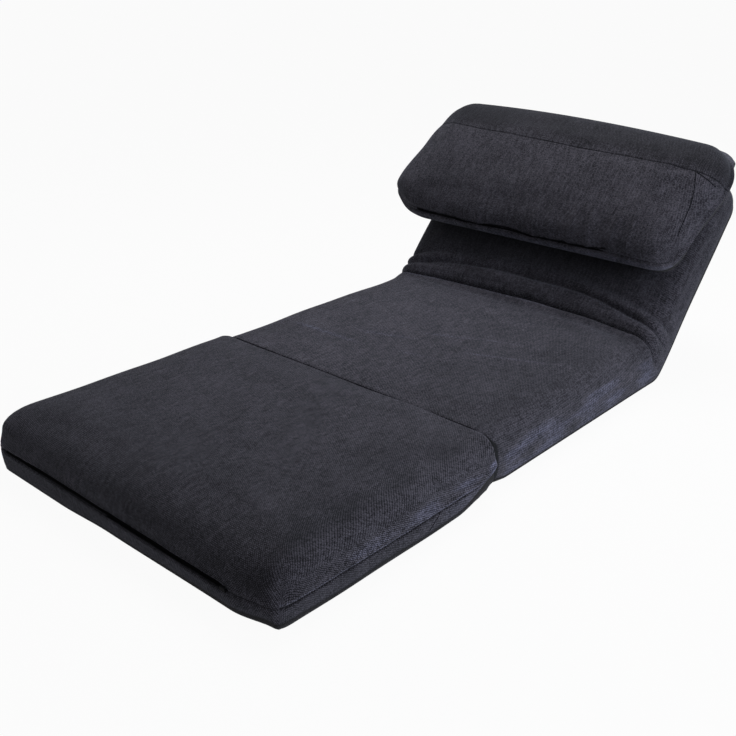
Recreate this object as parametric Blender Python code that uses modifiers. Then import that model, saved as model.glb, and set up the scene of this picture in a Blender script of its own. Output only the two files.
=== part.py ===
"""Chair bed: a folding floor mattress of three padded blocks and a head pillow.

The foot block folds over onto the seat block along a sewn top hinge, the back block
reclines on a pair of hidden ratchets, and the pillow flips over the top of the back.
Metres, +Z up. The origin lies under the middle of the seat block, on the floor.
+Y runs towards the head end, and +X to the right of someone who looks from the foot end.
"""
import math

import bmesh
import bpy
from mathutils import Matrix

# Overall sizes of the padded blocks
MATTRESS_T = 0.118
SEAT_WIDTH = 0.68
FOOT_WIDTH = 0.71
BACK_WIDTH = 0.69
PILLOW_WIDTH = 0.76
HINGE_SPAN = 0.58
FOOT_LENGTH = 0.512
BACK_LENGTH = 0.43
PILLOW_HEIGHT = 0.300
PILLOW_DEPTH = 0.114
PILLOW_OFFSET = -0.026

# Roundness of the padding
SIDE_EDGE = 0.050
END_EDGE = 0.060
HINGE_EDGE = 0.020
SIDE_DROP = 0.042
END_DROP = 0.048
HINGE_TOP_DROP = 0.006
HINGE_BOTTOM_DROP = 0.040
BASE_DROP = 0.018
FOOT_BASE_DROP = 0.011
CROWN = 0.005
BACK_CROWN = 0.002
SWELL = 0.004
PILLOW_EDGE = 0.070
PILLOW_DROP = 0.050

# Cloth and clearances
COVER_T = 0.0015
FLAP_T = 0.0012
GAP = 0.0003
FOAM_GAP = 0.0012
HINGE_GAP = 0.0015
CREASE_GAP = 0.003
FLOOR_LIFT = 0.001

# Sewn seams and zips
FOOT_SEAM_UP = 0.036
PILLOW_SEAM_UP = 0.072
ZIP_MARGIN = 0.005
FOOT_ZIP_STOP = 0.030
PILLOW_ZIP_STOP = 0.098
ZIP_SLOT = 0.0085
TAPE_HEIGHT = 0.014
TAPE_T = 0.0010
COIL_HEIGHT = 0.0045
COIL_T = 0.0018
SLIDER_LENGTH = 0.011
SLIDER_WALL = 0.0009
WELT_HEIGHT = 0.022
FLAP_SIDE = 0.080
CREASE_SEAT_LAP = 0.030
CREASE_BACK_LAP = 0.062
FOLD_RISE = 0.010

# Steel frames
TUBE_R = 0.0095
TUBE_WALL = 0.0015
FRAME_INSET = 0.055
FRAME_END_INSET = 0.055
FRAME_BEND = 0.060
CROSSBAR_R = 0.008
CROSSBAR_BACK = 0.150
TONGUE_LENGTH = 0.056
TUBE_RIVET_R = 0.0025
TUBE_RIVET_HEAD_R = 0.0050
RIVET_HEAD_T = 0.0018
RIVET_SPACING = 0.026
RIVET_FROM_END = 0.014

# Ratchet hinges
RATCHET_STEP = 15.5
RATCHET_STEPS = 5
REST_STEP = 3
ARM_T = 0.003
OUTER_PLATE_T = 0.002
CREST_R = 0.0245
ROOT_R = 0.0203
DISC_R = 0.0160
PIVOT_R = 0.0050
PIVOT_HEAD_R = 0.0085
NOSE_ANGLE = 205.0
PAWL_REACH = 0.024
PAWL_WIDTH = 0.006
PAWL_HUB_R = 0.0058
PAWL_LIFT = 0.0004
PAWL_SEAT = 0.0005
PIN_R = 0.0025
PIN_HEAD_R = 0.0048
HEAD_RIM = 0.009
SPRING_T = 0.0007
SPRING_EYE_R = 0.0042

# Facet rows up a block's wall
WALL_ROWS = 3

# Derived places
REST_ANGLE = RATCHET_STEP * REST_STEP
FOOT_AXIS = (0.0, -HINGE_SPAN / 2, MATTRESS_T)
BACK_AXIS = (0.0, HINGE_SPAN / 2, MATTRESS_T / 2)
TOP_LEVEL = MATTRESS_T - 0.0005
BACK_FRONT = MATTRESS_T / 2
PILLOW_AXIS_Y = BACK_LENGTH + 0.027
PILLOW_AXIS_Z = BACK_FRONT + GAP + FLAP_T / 2
SEAT_REAR = HINGE_SPAN / 2 - MATTRESS_T / 2 - CREASE_GAP
FRAME_X = min(SEAT_WIDTH, BACK_WIDTH) / 2 - FRAME_INSET
BACK_FRAME_X = FRAME_X + ARM_T + GAP
TONGUE_HALF = math.sqrt((TUBE_R - TUBE_WALL) ** 2 - (ARM_T / 2) ** 2) - GAP
TOOTH_PITCH = CREST_R * math.radians(RATCHET_STEP)
TIP_LIFTED = CREST_R + PAWL_LIFT
TIP_SEATED = ROOT_R + PAWL_SEAT
TIP_MID = (TIP_LIFTED + TIP_SEATED) / 2
PAWL_TRAVEL = (TIP_LIFTED - TIP_SEATED) / PAWL_REACH
SEAT_NECK = max(TIP_MID + PAWL_REACH + HEAD_RIM + 0.006, MATTRESS_T / 2 + CREASE_GAP + COVER_T)
SEAT_TUBE_END = SEAT_NECK + 0.003
BACK_TUBE_START = CREST_R + 0.020
SLOT_HALF = TUBE_R + 0.001
SLOT_TOP = BACK_TUBE_START + 0.006

CHARCOAL = (0.045, 0.044, 0.052, 1.0)
CHARCOAL_DARK = (0.030, 0.030, 0.036, 1.0)
FOAM_GREY = (0.55, 0.54, 0.50, 1.0)
FIBRE_WHITE = (0.75, 0.75, 0.73, 1.0)
ZIP_BLACK = (0.010, 0.010, 0.011, 1.0)
STEEL_BLACK = (0.020, 0.020, 0.022, 1.0)
STEEL_ZINC = (0.55, 0.56, 0.58, 1.0)

for old in list(bpy.data.objects):
    bpy.data.objects.remove(old, do_unlink=True)


def collection(name):
    """A collection linked to the scene."""
    found = bpy.data.collections.get(name) or bpy.data.collections.new(name)
    if name not in bpy.context.scene.collection.children:
        bpy.context.scene.collection.children.link(found)
    return found


PARTS = collection("chair_bed")
CUTTERS = collection("chair_bed_cutters")


def material(name, colour, roughness, metallic=0.0):
    """A plain Principled material."""
    made = bpy.data.materials.new(name)
    made.use_nodes = True
    shader = made.node_tree.nodes["Principled BSDF"]
    shader.inputs["Base Color"].default_value = colour
    shader.inputs["Roughness"].default_value = roughness
    shader.inputs["Metallic"].default_value = metallic
    return made


def pivot(name, location, tilt=0.0, parent=None):
    """An empty on a joint's axis that carries one moving body."""
    empty = bpy.data.objects.new(name, None)
    PARTS.objects.link(empty)
    empty.parent = parent
    empty.location = location
    empty.rotation_euler = (math.radians(tilt), 0.0, 0.0)
    return empty


SEAT_FRAME = pivot("seat_origin", (0.0, 0.0, 0.0))
FOOT_FRAME = pivot("foot_hinge_axis", FOOT_AXIS, 0.0, SEAT_FRAME)
BACK_FRAME = pivot("back_ratchet_axis", BACK_AXIS, REST_ANGLE, SEAT_FRAME)
PILLOW_FRAME = pivot("pillow_hinge_axis", (PILLOW_OFFSET, PILLOW_AXIS_Y, PILLOW_AXIS_Z), 0.0, BACK_FRAME)


def keep(name, mesh, frame, look, smooth=True):
    """Wrap a mesh as a part that rides a pivot."""
    part = bpy.data.objects.new(name, mesh)
    PARTS.objects.link(part)
    part.parent = frame
    if smooth:
        mesh.shade_smooth()
        mesh.set_sharp_from_angle(angle=math.radians(40.0))
    mesh.materials.clear()
    mesh.materials.append(material(name, *look))
    return part


def cutter(name, mesh, frame):
    """Wrap a mesh as a hidden cutting tool that rides a pivot."""
    tool = bpy.data.objects.new(name, mesh)
    CUTTERS.objects.link(tool)
    tool.parent = frame
    tool.hide_render = True
    tool.display_type = "WIRE"
    return tool


def cut(part, *tools, solver="EXACT"):
    """Take each tool away from a part."""
    for tool in tools:
        change = part.modifiers.new("cut_" + tool.name, "BOOLEAN")
        change.operation = "DIFFERENCE"
        change.solver = solver
        change.object = tool


def thicken(part, thickness):
    """Give an open surface its thickness on the inner side."""
    wall = part.modifiers.new("thickness", "SOLIDIFY")
    wall.thickness = thickness
    wall.offset = -1.0


def finish(bm, name):
    """Turn a bmesh into a mesh, a closed one with its faces pointing out."""
    if all(edge.is_manifold for edge in bm.edges):
        bmesh.ops.recalc_face_normals(bm, faces=bm.faces)
        if bm.calc_volume(signed=True) < 0.0:
            bmesh.ops.reverse_faces(bm, faces=bm.faces)
    mesh = bpy.data.meshes.new(name)
    bm.to_mesh(mesh)
    bm.free()
    return mesh


def box_mesh(name, low, high):
    """A box between two corners."""
    bm = bmesh.new()
    bmesh.ops.create_cube(bm, size=1.0)
    for vert in bm.verts:
        vert.co = [a + (b - a) * (c + 0.5) for a, b, c in zip(low, high, vert.co)]
    return finish(bm, name)


def rod_mesh(name, x_low, x_high, y, z, radius, segments=12):
    """A plain round rod along X."""
    bm = bmesh.new()
    bmesh.ops.create_cone(bm, cap_ends=True, segments=segments, radius1=radius, radius2=radius,
                          depth=x_high - x_low)
    bm.transform(Matrix.Translation(((x_low + x_high) / 2, y, z)) @ Matrix.Rotation(math.pi / 2, 4, "Y"))
    return finish(bm, name)


def curve_mesh(name, curve):
    """The evaluated mesh of a curve, with its caps welded on."""
    holder = bpy.data.objects.new(name, curve)
    CUTTERS.objects.link(holder)
    bpy.context.view_layer.update()
    graph = bpy.context.evaluated_depsgraph_get()
    mesh = bpy.data.meshes.new_from_object(holder.evaluated_get(graph))
    bpy.data.objects.remove(holder, do_unlink=True)
    bpy.data.curves.remove(curve)
    bm = bmesh.new()
    bm.from_mesh(mesh)
    bpy.data.meshes.remove(mesh)
    bmesh.ops.remove_doubles(bm, verts=bm.verts, dist=0.00001)
    return bm


def plate_mesh(name, loops, x_low, x_high):
    """A flat plate: an outline in Y and Z, then any holes, extruded along X."""
    curve = bpy.data.curves.new(name, "CURVE")
    curve.dimensions = "2D"
    curve.fill_mode = "BOTH"
    curve.extrude = (x_high - x_low) / 2
    for loop in loops:
        spline = curve.splines.new("POLY")
        spline.points.add(len(loop) - 1)
        spline.use_cyclic_u = True
        for point, (y, z) in zip(spline.points, loop):
            point.co = (y, z, 0.0, 1.0)
    bm = curve_mesh(name, curve)
    stand = Matrix(((0, 0, 1, (x_low + x_high) / 2), (1, 0, 0, 0), (0, 1, 0, 0), (0, 0, 0, 1)))
    bm.transform(stand)
    return finish(bm, name)


def tube_mesh(name, path, radius, capped):
    """A round tube along a path, open at its ends or capped."""
    curve = bpy.data.curves.new(name, "CURVE")
    curve.dimensions = "3D"
    curve.bevel_depth = radius
    curve.bevel_resolution = 3
    curve.use_fill_caps = capped
    spline = curve.splines.new("POLY")
    spline.points.add(len(path) - 1)
    for point, place in zip(spline.points, path):
        point.co = (*place, 1.0)
    return finish(curve_mesh(name, curve), name)


def arc(centre, radius, start, end, count):
    """Points along an arc, angles in degrees."""
    angles = [math.radians(start + (end - start) * i / (count - 1)) for i in range(count)]
    return [(centre[0] + radius * math.cos(a), centre[1] + radius * math.sin(a)) for a in angles]


def circle(centre, radius, count=16):
    """A closed round loop."""
    return arc(centre, radius, 0.0, 360.0 * (count - 1) / count, count)


def rivet(name, x_low, x_high, y, z, shank, head, frame, look):
    """A turned rivet along X that clamps what lies between x_low and x_high."""
    half = (x_high - x_low) / 2 + GAP
    dome = half + RIVET_HEAD_T
    profile = [(0.0, dome), (head * 0.75, dome), (head, half), (shank, half)]
    profile += [(r, -h) for r, h in reversed(profile)]
    mesh = bpy.data.meshes.new(name)
    mesh.from_pydata([(r, 0.0, h) for r, h in profile], [(i, i + 1) for i in range(len(profile) - 1)], [])
    part = keep(name, mesh, frame, look)
    part.location = ((x_low + x_high) / 2, y, z)
    part.rotation_euler = (0.0, math.pi / 2, 0.0)
    turn = part.modifiers.new("turn", "SCREW")
    turn.axis = "Z"
    turn.steps = 10
    turn.render_steps = 10
    turn.use_merge_vertices = True
    turn.merge_threshold = 0.00001
    return part


class Cushion:
    """A padded block with rounded edges, a crowned top and gently swelling walls.

    Edges and drops are given as side, front and rear values: how far in from the wall the
    rounding starts, and how far the top or the bottom falls away over that width.
    """

    def __init__(self, half_width, front, rear, bottom, top, edge, top_drop, bottom_drop, crown, swell):
        self.half_width, self.front, self.rear = half_width, front, rear
        self.bottom, self.top = bottom, top
        self.edge, self.top_drop, self.bottom_drop = edge, top_drop, bottom_drop
        self.crown, self.swell = crown, swell

    def inset(self, d):
        """The same block with every face moved in by d."""
        shrink = [tuple(max(v - d, 0.002) for v in group)
                  for group in (self.edge, self.top_drop, self.bottom_drop)]
        return Cushion(self.half_width - d, self.front + d, self.rear - d, self.bottom + d, self.top - d,
                       *shrink, self.crown, self.swell)

    def plan(self, x, y):
        """Where a square grid point lands on the rounded plan, and its edge weights."""
        side, front, rear = self.edge
        tx = max(0.0, (abs(x) - (self.half_width - side)) / side)
        at_front = y < (self.front + self.rear) / 2
        end = front if at_front else rear
        ty = max(0.0, (self.front + end - y) / end if at_front else (y - self.rear + end) / end)
        reach = max(tx, ty)
        pull = reach / math.hypot(tx, ty) if reach > 0 else 1.0
        if tx > 0:
            x = math.copysign(self.half_width - side + side * tx * pull, x)
        if ty > 0:
            y = self.front + end - end * ty * pull if at_front else self.rear - end + end * ty * pull
        return x, y, tx, ty, at_front

    def share(self, values, tx, ty, at_front):
        """Blend a side value with an end value round a corner."""
        total = tx * tx + ty * ty
        end = values[1] if at_front else values[2]
        return (values[0] * tx * tx + end * ty * ty) / total if total > 0 else 0.0

    def heights(self, x, y):
        """Bottom and top heights at a grid point."""
        _, _, tx, ty, at_front = self.plan(x, y)
        reach = min(1.0, max(tx, ty))
        fall = 1.0 - math.sqrt(1.0 - reach * reach)
        middle, half = (self.front + self.rear) / 2, (self.rear - self.front) / 2
        level = 1.0 - (1.0 - (x / self.half_width) ** 2) * (1.0 - ((y - middle) / half) ** 2)
        low = self.bottom + self.share(self.bottom_drop, tx, ty, at_front) * fall
        high = self.top - self.crown * level - self.share(self.top_drop, tx, ty, at_front) * fall
        return low, high

    def wall(self, y_end, z):
        """The outer face of an end wall at height z, on the block's middle line."""
        low, high = self.heights(0.0, y_end)
        at_front = y_end < (self.front + self.rear) / 2
        place = min(max((z - low) / (high - low), 0.0), 1.0) * WALL_ROWS
        row = min(int(place), WALL_ROWS - 1)
        below, above = [1.0 - (2.0 * k / WALL_ROWS - 1.0) ** 2 for k in (row, row + 1)]
        out = (self.swell[1] if at_front else self.swell[2]) * (below + (above - below) * (place - row))
        return y_end - out if at_front else y_end + out

    @staticmethod
    def stations(low, high, low_edge, high_edge, n_edge, n_mid):
        """Grid lines that crowd into the rounded edges."""
        turns = [math.sin(math.pi / 2 * i / n_edge) for i in range(n_edge, 0, -1)]
        start = [low + low_edge * (1.0 - t) for t in turns]
        stop = [high - high_edge * (1.0 - t) for t in reversed(turns)]
        a, b = low + low_edge, high - high_edge
        return start + [a + (b - a) * i / n_mid for i in range(n_mid + 1)] + stop

    def columns(self, n_edge=3, n_mid=3):
        """The grid lines across the block."""
        return self.stations(-self.half_width, self.half_width, self.edge[0], self.edge[0], n_edge, n_mid)

    def bmesh(self, n_edge=3, n_mid=3, n_wall=WALL_ROWS):
        """The closed block, worked up from a gridded cube."""
        xs = self.columns(n_edge, n_mid)
        ys = self.stations(self.front, self.rear, self.edge[1], self.edge[2], n_edge, n_mid)
        counts = (len(xs) - 1, len(ys) - 1, n_wall)
        bm = bmesh.new()
        bmesh.ops.create_cube(bm, size=1.0)
        for axis, count in enumerate(counts):
            along = [e for e in bm.edges
                     if abs(e.verts[0].co[axis] - e.verts[1].co[axis]) > 0.5]
            if count > 1:
                bmesh.ops.subdivide_edges(bm, edges=along, cuts=count - 1, use_grid_fill=True)
        for vert in bm.verts:
            i, j, k = [round((c + 0.5) * n) for c, n in zip(vert.co, counts)]
            x, y = xs[i], ys[j]
            low, high = self.heights(x, y)
            px, py, tx, ty, at_front = self.plan(x, y)
            w = 2.0 * k / n_wall - 1.0
            if 0 < k < n_wall:
                out = self.share(self.swell, tx, ty, at_front) * (1.0 - w * w) / max(math.hypot(tx, ty), 1e-6)
                px += math.copysign(out * tx, px)
                py += -out * ty if at_front else out * ty
            vert.co = (px, py, low + (high - low) * (w + 1.0) / 2)
        bmesh.ops.triangulate(bm, faces=bm.faces, quad_method="FIXED")
        return bm


def sliced(bm, height, keep_above, filled):
    """Cut a bmesh with a level plane, keep one side and close the cut if asked."""
    geometry = bm.verts[:] + bm.edges[:] + bm.faces[:]
    found = bmesh.ops.bisect_plane(bm, geom=geometry, dist=0.000001, plane_co=(0, 0, height),
                                   plane_no=(0, 0, 1), clear_inner=keep_above, clear_outer=not keep_above)
    if filled:
        edges = [e for e in found["geom_cut"] if isinstance(e, bmesh.types.BMEdge)]
        bmesh.ops.contextual_create(bm, geom=edges)
    return bm


FABRIC = (CHARCOAL, 0.95)
FABRIC_DARK = (CHARCOAL_DARK, 0.95)
FOAM = (FOAM_GREY, 0.9)
FIBRE = (FIBRE_WHITE, 0.9)
ZIP = (ZIP_BLACK, 0.6)
TUBE = (STEEL_BLACK, 0.45)
ZINC = (STEEL_ZINC, 0.35, 1.0)

FOOT = Cushion(FOOT_WIDTH / 2 - SWELL, -FOOT_LENGTH + SWELL, -HINGE_GAP, -MATTRESS_T, TOP_LEVEL - MATTRESS_T,
               (SIDE_EDGE, END_EDGE, HINGE_EDGE), (SIDE_DROP, END_DROP, HINGE_TOP_DROP),
               (FOOT_BASE_DROP, FOOT_BASE_DROP, HINGE_BOTTOM_DROP), CROWN, (SWELL, SWELL, 0.0))
SEAT = Cushion(SEAT_WIDTH / 2 - SWELL, -HINGE_SPAN / 2 + HINGE_GAP, SEAT_REAR, 0.0, TOP_LEVEL,
               (SIDE_EDGE, HINGE_EDGE, HINGE_EDGE), (SIDE_DROP, HINGE_TOP_DROP, HINGE_TOP_DROP),
               (BASE_DROP, HINGE_BOTTOM_DROP, BASE_DROP), CROWN, (SWELL, 0.0, 0.0))
BACK_R = MATTRESS_T / 2 - FLOOR_LIFT
BACK = Cushion(BACK_WIDTH / 2 - SWELL, -BACK_R, BACK_LENGTH - SWELL, -BACK_R, BACK_FRONT,
               (SIDE_EDGE, BACK_R, SIDE_EDGE), (SIDE_DROP, BACK_R - BACK_CROWN - 0.003, SIDE_DROP),
               (SIDE_DROP, BACK_R - 0.004, SIDE_DROP), BACK_CROWN, (SWELL, 0.0, SWELL))
PILLOW_REST = GAP + FLAP_T / 2
PILLOW = Cushion(PILLOW_WIDTH / 2 - SWELL, -PILLOW_HEIGHT + SWELL, -0.002 - SWELL, PILLOW_REST,
                 PILLOW_REST + PILLOW_DEPTH, (PILLOW_EDGE, END_EDGE, PILLOW_EDGE),
                 (PILLOW_DROP, PILLOW_DROP, PILLOW_DROP), (BASE_DROP * 2, BASE_DROP * 2, BASE_DROP),
                 CROWN * 2, (SWELL, SWELL, SWELL))


def zipped_cover(prefix, block, seam, zip_stop, frame, padding_name, padding_look):
    """Two shells sewn along a level seam, with padding inside and a zip in the front wall.

    The zip starts at the left corner and stops short of the right one.
    """
    upper = keep(prefix + "_cover", finish(sliced(block.bmesh(), seam + GAP / 2, True, False), "upper"),
                 frame, FABRIC)
    lower = keep(prefix + "_base_cover", finish(sliced(block.bmesh(), seam - GAP / 2, False, False), "lower"),
                 frame, FABRIC_DARK)
    padding = keep(padding_name, finish(block.inset(COVER_T + FOAM_GAP).bmesh(), padding_name),
                   frame, padding_look)
    flat_end = block.half_width - block.edge[0]
    zip_start, zip_end = ZIP_MARGIN - flat_end, flat_end - zip_stop
    faces = [block.wall(block.front, seam + s * TAPE_HEIGHT / 2) for s in (-1.0, 0.0, 1.0)]
    tape_front = max(faces) + COVER_T + GAP
    slot = cutter(prefix + "_zip_slot", box_mesh("slot", (zip_start, min(faces) - 0.01, seam - ZIP_SLOT / 2),
                                                 (zip_end, tape_front + 0.001, seam + ZIP_SLOT / 2)), frame)
    room = cutter(prefix + "_zip_room", box_mesh(
        "room", (zip_start - 0.002, min(faces) - 0.01, seam - TAPE_HEIGHT / 2 - 0.001),
        (zip_end + 0.002, tape_front + TAPE_T + GAP, seam + TAPE_HEIGHT / 2 + 0.001)), frame)
    thicken(upper, COVER_T)
    thicken(lower, COVER_T)
    cut(upper, slot)
    cut(lower, slot)
    cut(padding, room)
    coil = tape_front - COIL_T
    chain = [(tape_front + TAPE_T, seam - TAPE_HEIGHT / 2), (tape_front + TAPE_T, seam + TAPE_HEIGHT / 2),
             (tape_front, seam + TAPE_HEIGHT / 2), (tape_front, seam + COIL_HEIGHT / 2),
             (coil, seam + COIL_HEIGHT / 2 - 0.0008), (coil, seam - COIL_HEIGHT / 2 + 0.0008),
             (tape_front, seam - COIL_HEIGHT / 2), (tape_front, seam - TAPE_HEIGHT / 2)]
    keep(prefix + "_zip_chain", plate_mesh("chain", [chain], zip_start + GAP, zip_end - GAP), frame, ZIP, False)
    inner = COIL_HEIGHT / 2 + GAP
    outer = inner + SLIDER_WALL
    back, roof = tape_front - GAP, coil - GAP
    slider = [(back, seam - outer), (back, seam - inner), (roof, seam - inner), (roof, seam + inner),
              (back, seam + inner), (back, seam + outer), (roof - SLIDER_WALL, seam + outer * 0.8),
              (roof - SLIDER_WALL, seam - outer * 0.8)]
    stop = zip_end - GAP - 0.001
    keep(prefix + "_zip_slider", plate_mesh("slider", [slider], stop - SLIDER_LENGTH, stop), frame, ZINC, False)


zipped_cover("foot", FOOT, -MATTRESS_T + FOOT_SEAM_UP, FOOT_ZIP_STOP, FOOT_FRAME, "foot_foam", FOAM)
zipped_cover("pillow", PILLOW, PILLOW_REST + PILLOW_SEAM_UP, PILLOW_ZIP_STOP, PILLOW_FRAME, "pillow_filling",
             FIBRE)


def hinge_slots(name, frame, y_low, y_high, z_low, z_high, centre, half):
    """A pair of clear slots for the ratchets, left and right."""
    return [cutter(name + side, box_mesh(name, (sign * centre - half, y_low, z_low),
                                         (sign * centre + half, y_high, z_high)), frame)
            for side, sign in (("_right", 1), ("_left", -1))]


def loop_path(half, end, start, bend, axis_z):
    """A U-shaped tube run: up one side, across the end and back, with bent corners."""
    sign = math.copysign(1.0, end - start)
    corner = arc((half - bend, 0.0), bend, 0.0, 90.0, 5)
    right = [(x, end - sign * bend + sign * y) for x, y in corner]
    run = [(half, start)] + right + [(-x, y) for x, y in reversed(right)] + [(-half, start)]
    return [(x, y, axis_z) for x, y in run]


def padded_frame(prefix, block, frame, mid, path, slots, rooms, crossbar_y, crossbar_half, names):
    """A block's cover, its base panel, two foam halves and the tube frame between them."""
    cover_name, panel_name, upper_name, lower_name = names
    hem = block.bottom + COVER_T
    cover = keep(cover_name, finish(sliced(block.bmesh(), hem + GAP, True, False), cover_name), frame, FABRIC)
    thicken(cover, COVER_T)
    panel = keep(panel_name, finish(sliced(block.bmesh(), hem, False, True), panel_name), frame, FABRIC_DARK)
    cut(cover, *slots)
    cut(panel, *slots)
    core = block.inset(COVER_T + FOAM_GAP)
    groove = cutter(prefix + "_frame_groove", tube_mesh("groove", path, TUBE_R + GAP, True), frame)
    bar_groove = cutter(prefix + "_bar_groove", rod_mesh("bar_groove", -crossbar_half, crossbar_half, crossbar_y,
                                                         mid, CROSSBAR_R + GAP), frame)
    for name, above in ((upper_name, True), (lower_name, False)):
        level = mid + GAP / 2 if above else mid - GAP / 2
        foam = keep(name, finish(sliced(core.bmesh(), level, above, True), name), frame, FOAM)
        cut(foam, *rooms, *slots, groove, bar_groove, solver="MANIFOLD")
    rail = keep(prefix + "_frame", tube_mesh(prefix + "_frame", path, TUBE_R, False), frame, TUBE)
    thicken(rail, TUBE_WALL)
    reach = crossbar_half - TUBE_R - GAP
    bar = keep(prefix + "_crossbar", tube_mesh("bar", [(-reach, crossbar_y, mid), (reach, crossbar_y, mid)],
                                               CROSSBAR_R, False), frame, TUBE)
    thicken(bar, TUBE_WALL)
    return rail


SEAT_MID = MATTRESS_T / 2
SEAT_SLOTS = hinge_slots("seat_slot", SEAT_FRAME, HINGE_SPAN / 2 - SEAT_TUBE_END - 0.006,
                         SEAT_REAR + 0.02, SEAT_MID - CREST_R - 0.007, SEAT_MID + CREST_R + 0.007,
                         (FRAME_X + BACK_FRAME_X) / 2, SLOT_HALF + ARM_T)
SEAT_PATH = loop_path(FRAME_X, -HINGE_SPAN / 2 + FRAME_END_INSET, HINGE_SPAN / 2 - SEAT_TUBE_END, FRAME_BEND,
                      SEAT_MID)
ROOM_HALF = TUBE_R + RIVET_HEAD_T + 3 * GAP
SEAT_ROOMS = hinge_slots("seat_rivet_room", SEAT_FRAME, HINGE_SPAN / 2 - SEAT_TUBE_END - TONGUE_LENGTH,
                         HINGE_SPAN / 2 - SEAT_TUBE_END - 0.003, SEAT_MID - TUBE_R - 0.002,
                         SEAT_MID + TUBE_R + 0.002,
                         FRAME_X, ROOM_HALF)
SEAT_RAIL = padded_frame("seat", SEAT, SEAT_FRAME, SEAT_MID, SEAT_PATH, SEAT_SLOTS, SEAT_ROOMS,
                         HINGE_SPAN / 2 - CROSSBAR_BACK, FRAME_X,
                         ("seat_cover", "seat_underside", "seat_upper_foam", "seat_lower_foam"))
BACK_SLOTS = hinge_slots("back_slot", BACK_FRAME, -MATTRESS_T, SLOT_TOP, -MATTRESS_T, MATTRESS_T,
                         BACK_FRAME_X, SLOT_HALF)
BACK_PATH = loop_path(BACK_FRAME_X, BACK_LENGTH - FRAME_END_INSET, BACK_TUBE_START, FRAME_BEND, 0.0)
BACK_ROOMS = hinge_slots("back_rivet_room", BACK_FRAME, SLOT_TOP - 0.001, BACK_TUBE_START + TONGUE_LENGTH,
                         -TUBE_R - 0.002, TUBE_R + 0.002, BACK_FRAME_X, ROOM_HALF)
BACK_RAIL = padded_frame("back", BACK, BACK_FRAME, 0.0, BACK_PATH, BACK_SLOTS, BACK_ROOMS,
                         CROSSBAR_BACK, BACK_FRAME_X,
                         ("back_cover", "back_rear_panel", "back_front_foam", "back_rear_foam"))


def toward_pawl(tangent, radial):
    """A place near the pawl: along the rim towards its pin, and out from the ratchet axis."""
    a = math.radians(NOSE_ANGLE)
    return (radial * math.cos(a) + tangent * math.sin(a), radial * math.sin(a) - tangent * math.cos(a))


PAWL_PIN = toward_pawl(PAWL_REACH, TIP_MID)
SPRING_RADIAL = TIP_MID + PAWL_HUB_R + SPRING_EYE_R + PAWL_WIDTH
SPRING_EYE = toward_pawl(PAWL_REACH, SPRING_RADIAL)
HEAD_LOW = toward_pawl(0.0, TIP_MID + PAWL_WIDTH + 0.004)


def head_outline(neck):
    """The pear-shaped head of a hinge plate, starting and ending at its neck."""
    low = arc(HEAD_LOW, HEAD_RIM, 200.0, 285.0, 5)
    tip = arc((0.0, 0.0), DISC_R, -75.0, 85.0, 11)
    top = arc(PAWL_PIN, HEAD_RIM, 85.0, 140.0, 4)
    return [(-neck, -TONGUE_HALF)] + low + tip + top + [(-neck, TONGUE_HALF)]


def sector_outline():
    """The toothed disc on the back's arm, in the arm's own frame."""
    root = math.degrees(math.asin(TONGUE_HALF / DISC_R))
    first = NOSE_ANGLE - RATCHET_STEP * (RATCHET_STEPS + 0.7)
    last = NOSE_ANGLE + RATCHET_STEP * 0.7
    rim = []
    for step in range(RATCHET_STEPS, -1, -1):
        centre = NOSE_ANGLE - RATCHET_STEP * step
        for share, radius in ((-0.45, CREST_R), (-0.22, ROOT_R), (0.24, ROOT_R), (0.38, CREST_R)):
            turn = math.radians(centre) + share * TOOTH_PITCH / CREST_R
            rim.append((radius * math.cos(turn), radius * math.sin(turn)))
    crest = [arc((0.0, 0.0), CREST_R, first, first + 1.0, 2)[0]] + rim
    crest.append(arc((0.0, 0.0), CREST_R, last, last + 1.0, 2)[0])
    tongue = BACK_TUBE_START + TONGUE_LENGTH
    return ([(tongue, -TONGUE_HALF), (tongue, TONGUE_HALF)] + arc((0.0, 0.0), DISC_R, root, first - 4.0, 6)
            + crest + arc((0.0, 0.0), DISC_R, last + 4.0, 360.0 - root, 8))


def turned(point, centre, angle):
    """A point turned about a centre, in Y and Z."""
    dy, dz = point[0] - centre[0], point[1] - centre[1]
    c, s = math.cos(angle), math.sin(angle)
    return (centre[0] + c * dy - s * dz, centre[1] + s * dy + c * dz)


def lifted(tangent, radial):
    """A place on the pawl once it is turned out clear of the teeth."""
    return turned(toward_pawl(tangent, radial), PAWL_PIN, -PAWL_TRAVEL / 2)


NOSE_LENGTH = TIP_LIFTED - TIP_SEATED + 0.0016
PAWL_BACK = TIP_MID + NOSE_LENGTH + PAWL_WIDTH


def pawl_outline():
    """The pawl, with its nose just clear of the teeth."""
    tip, base = 0.12 * TOOTH_PITCH, 0.28 * TOOTH_PITCH
    hub = arc((PAWL_REACH, TIP_MID), PAWL_HUB_R, 155.0, 420.0, 14)
    shape = [(tip, TIP_MID), (base, TIP_MID + NOSE_LENGTH)] + hub
    shape += [(0.0, PAWL_BACK), (-base, PAWL_BACK - PAWL_WIDTH * 0.3), (-base, TIP_MID + NOSE_LENGTH),
              (-tip, TIP_MID)]
    return [lifted(*place) for place in shape]


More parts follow.
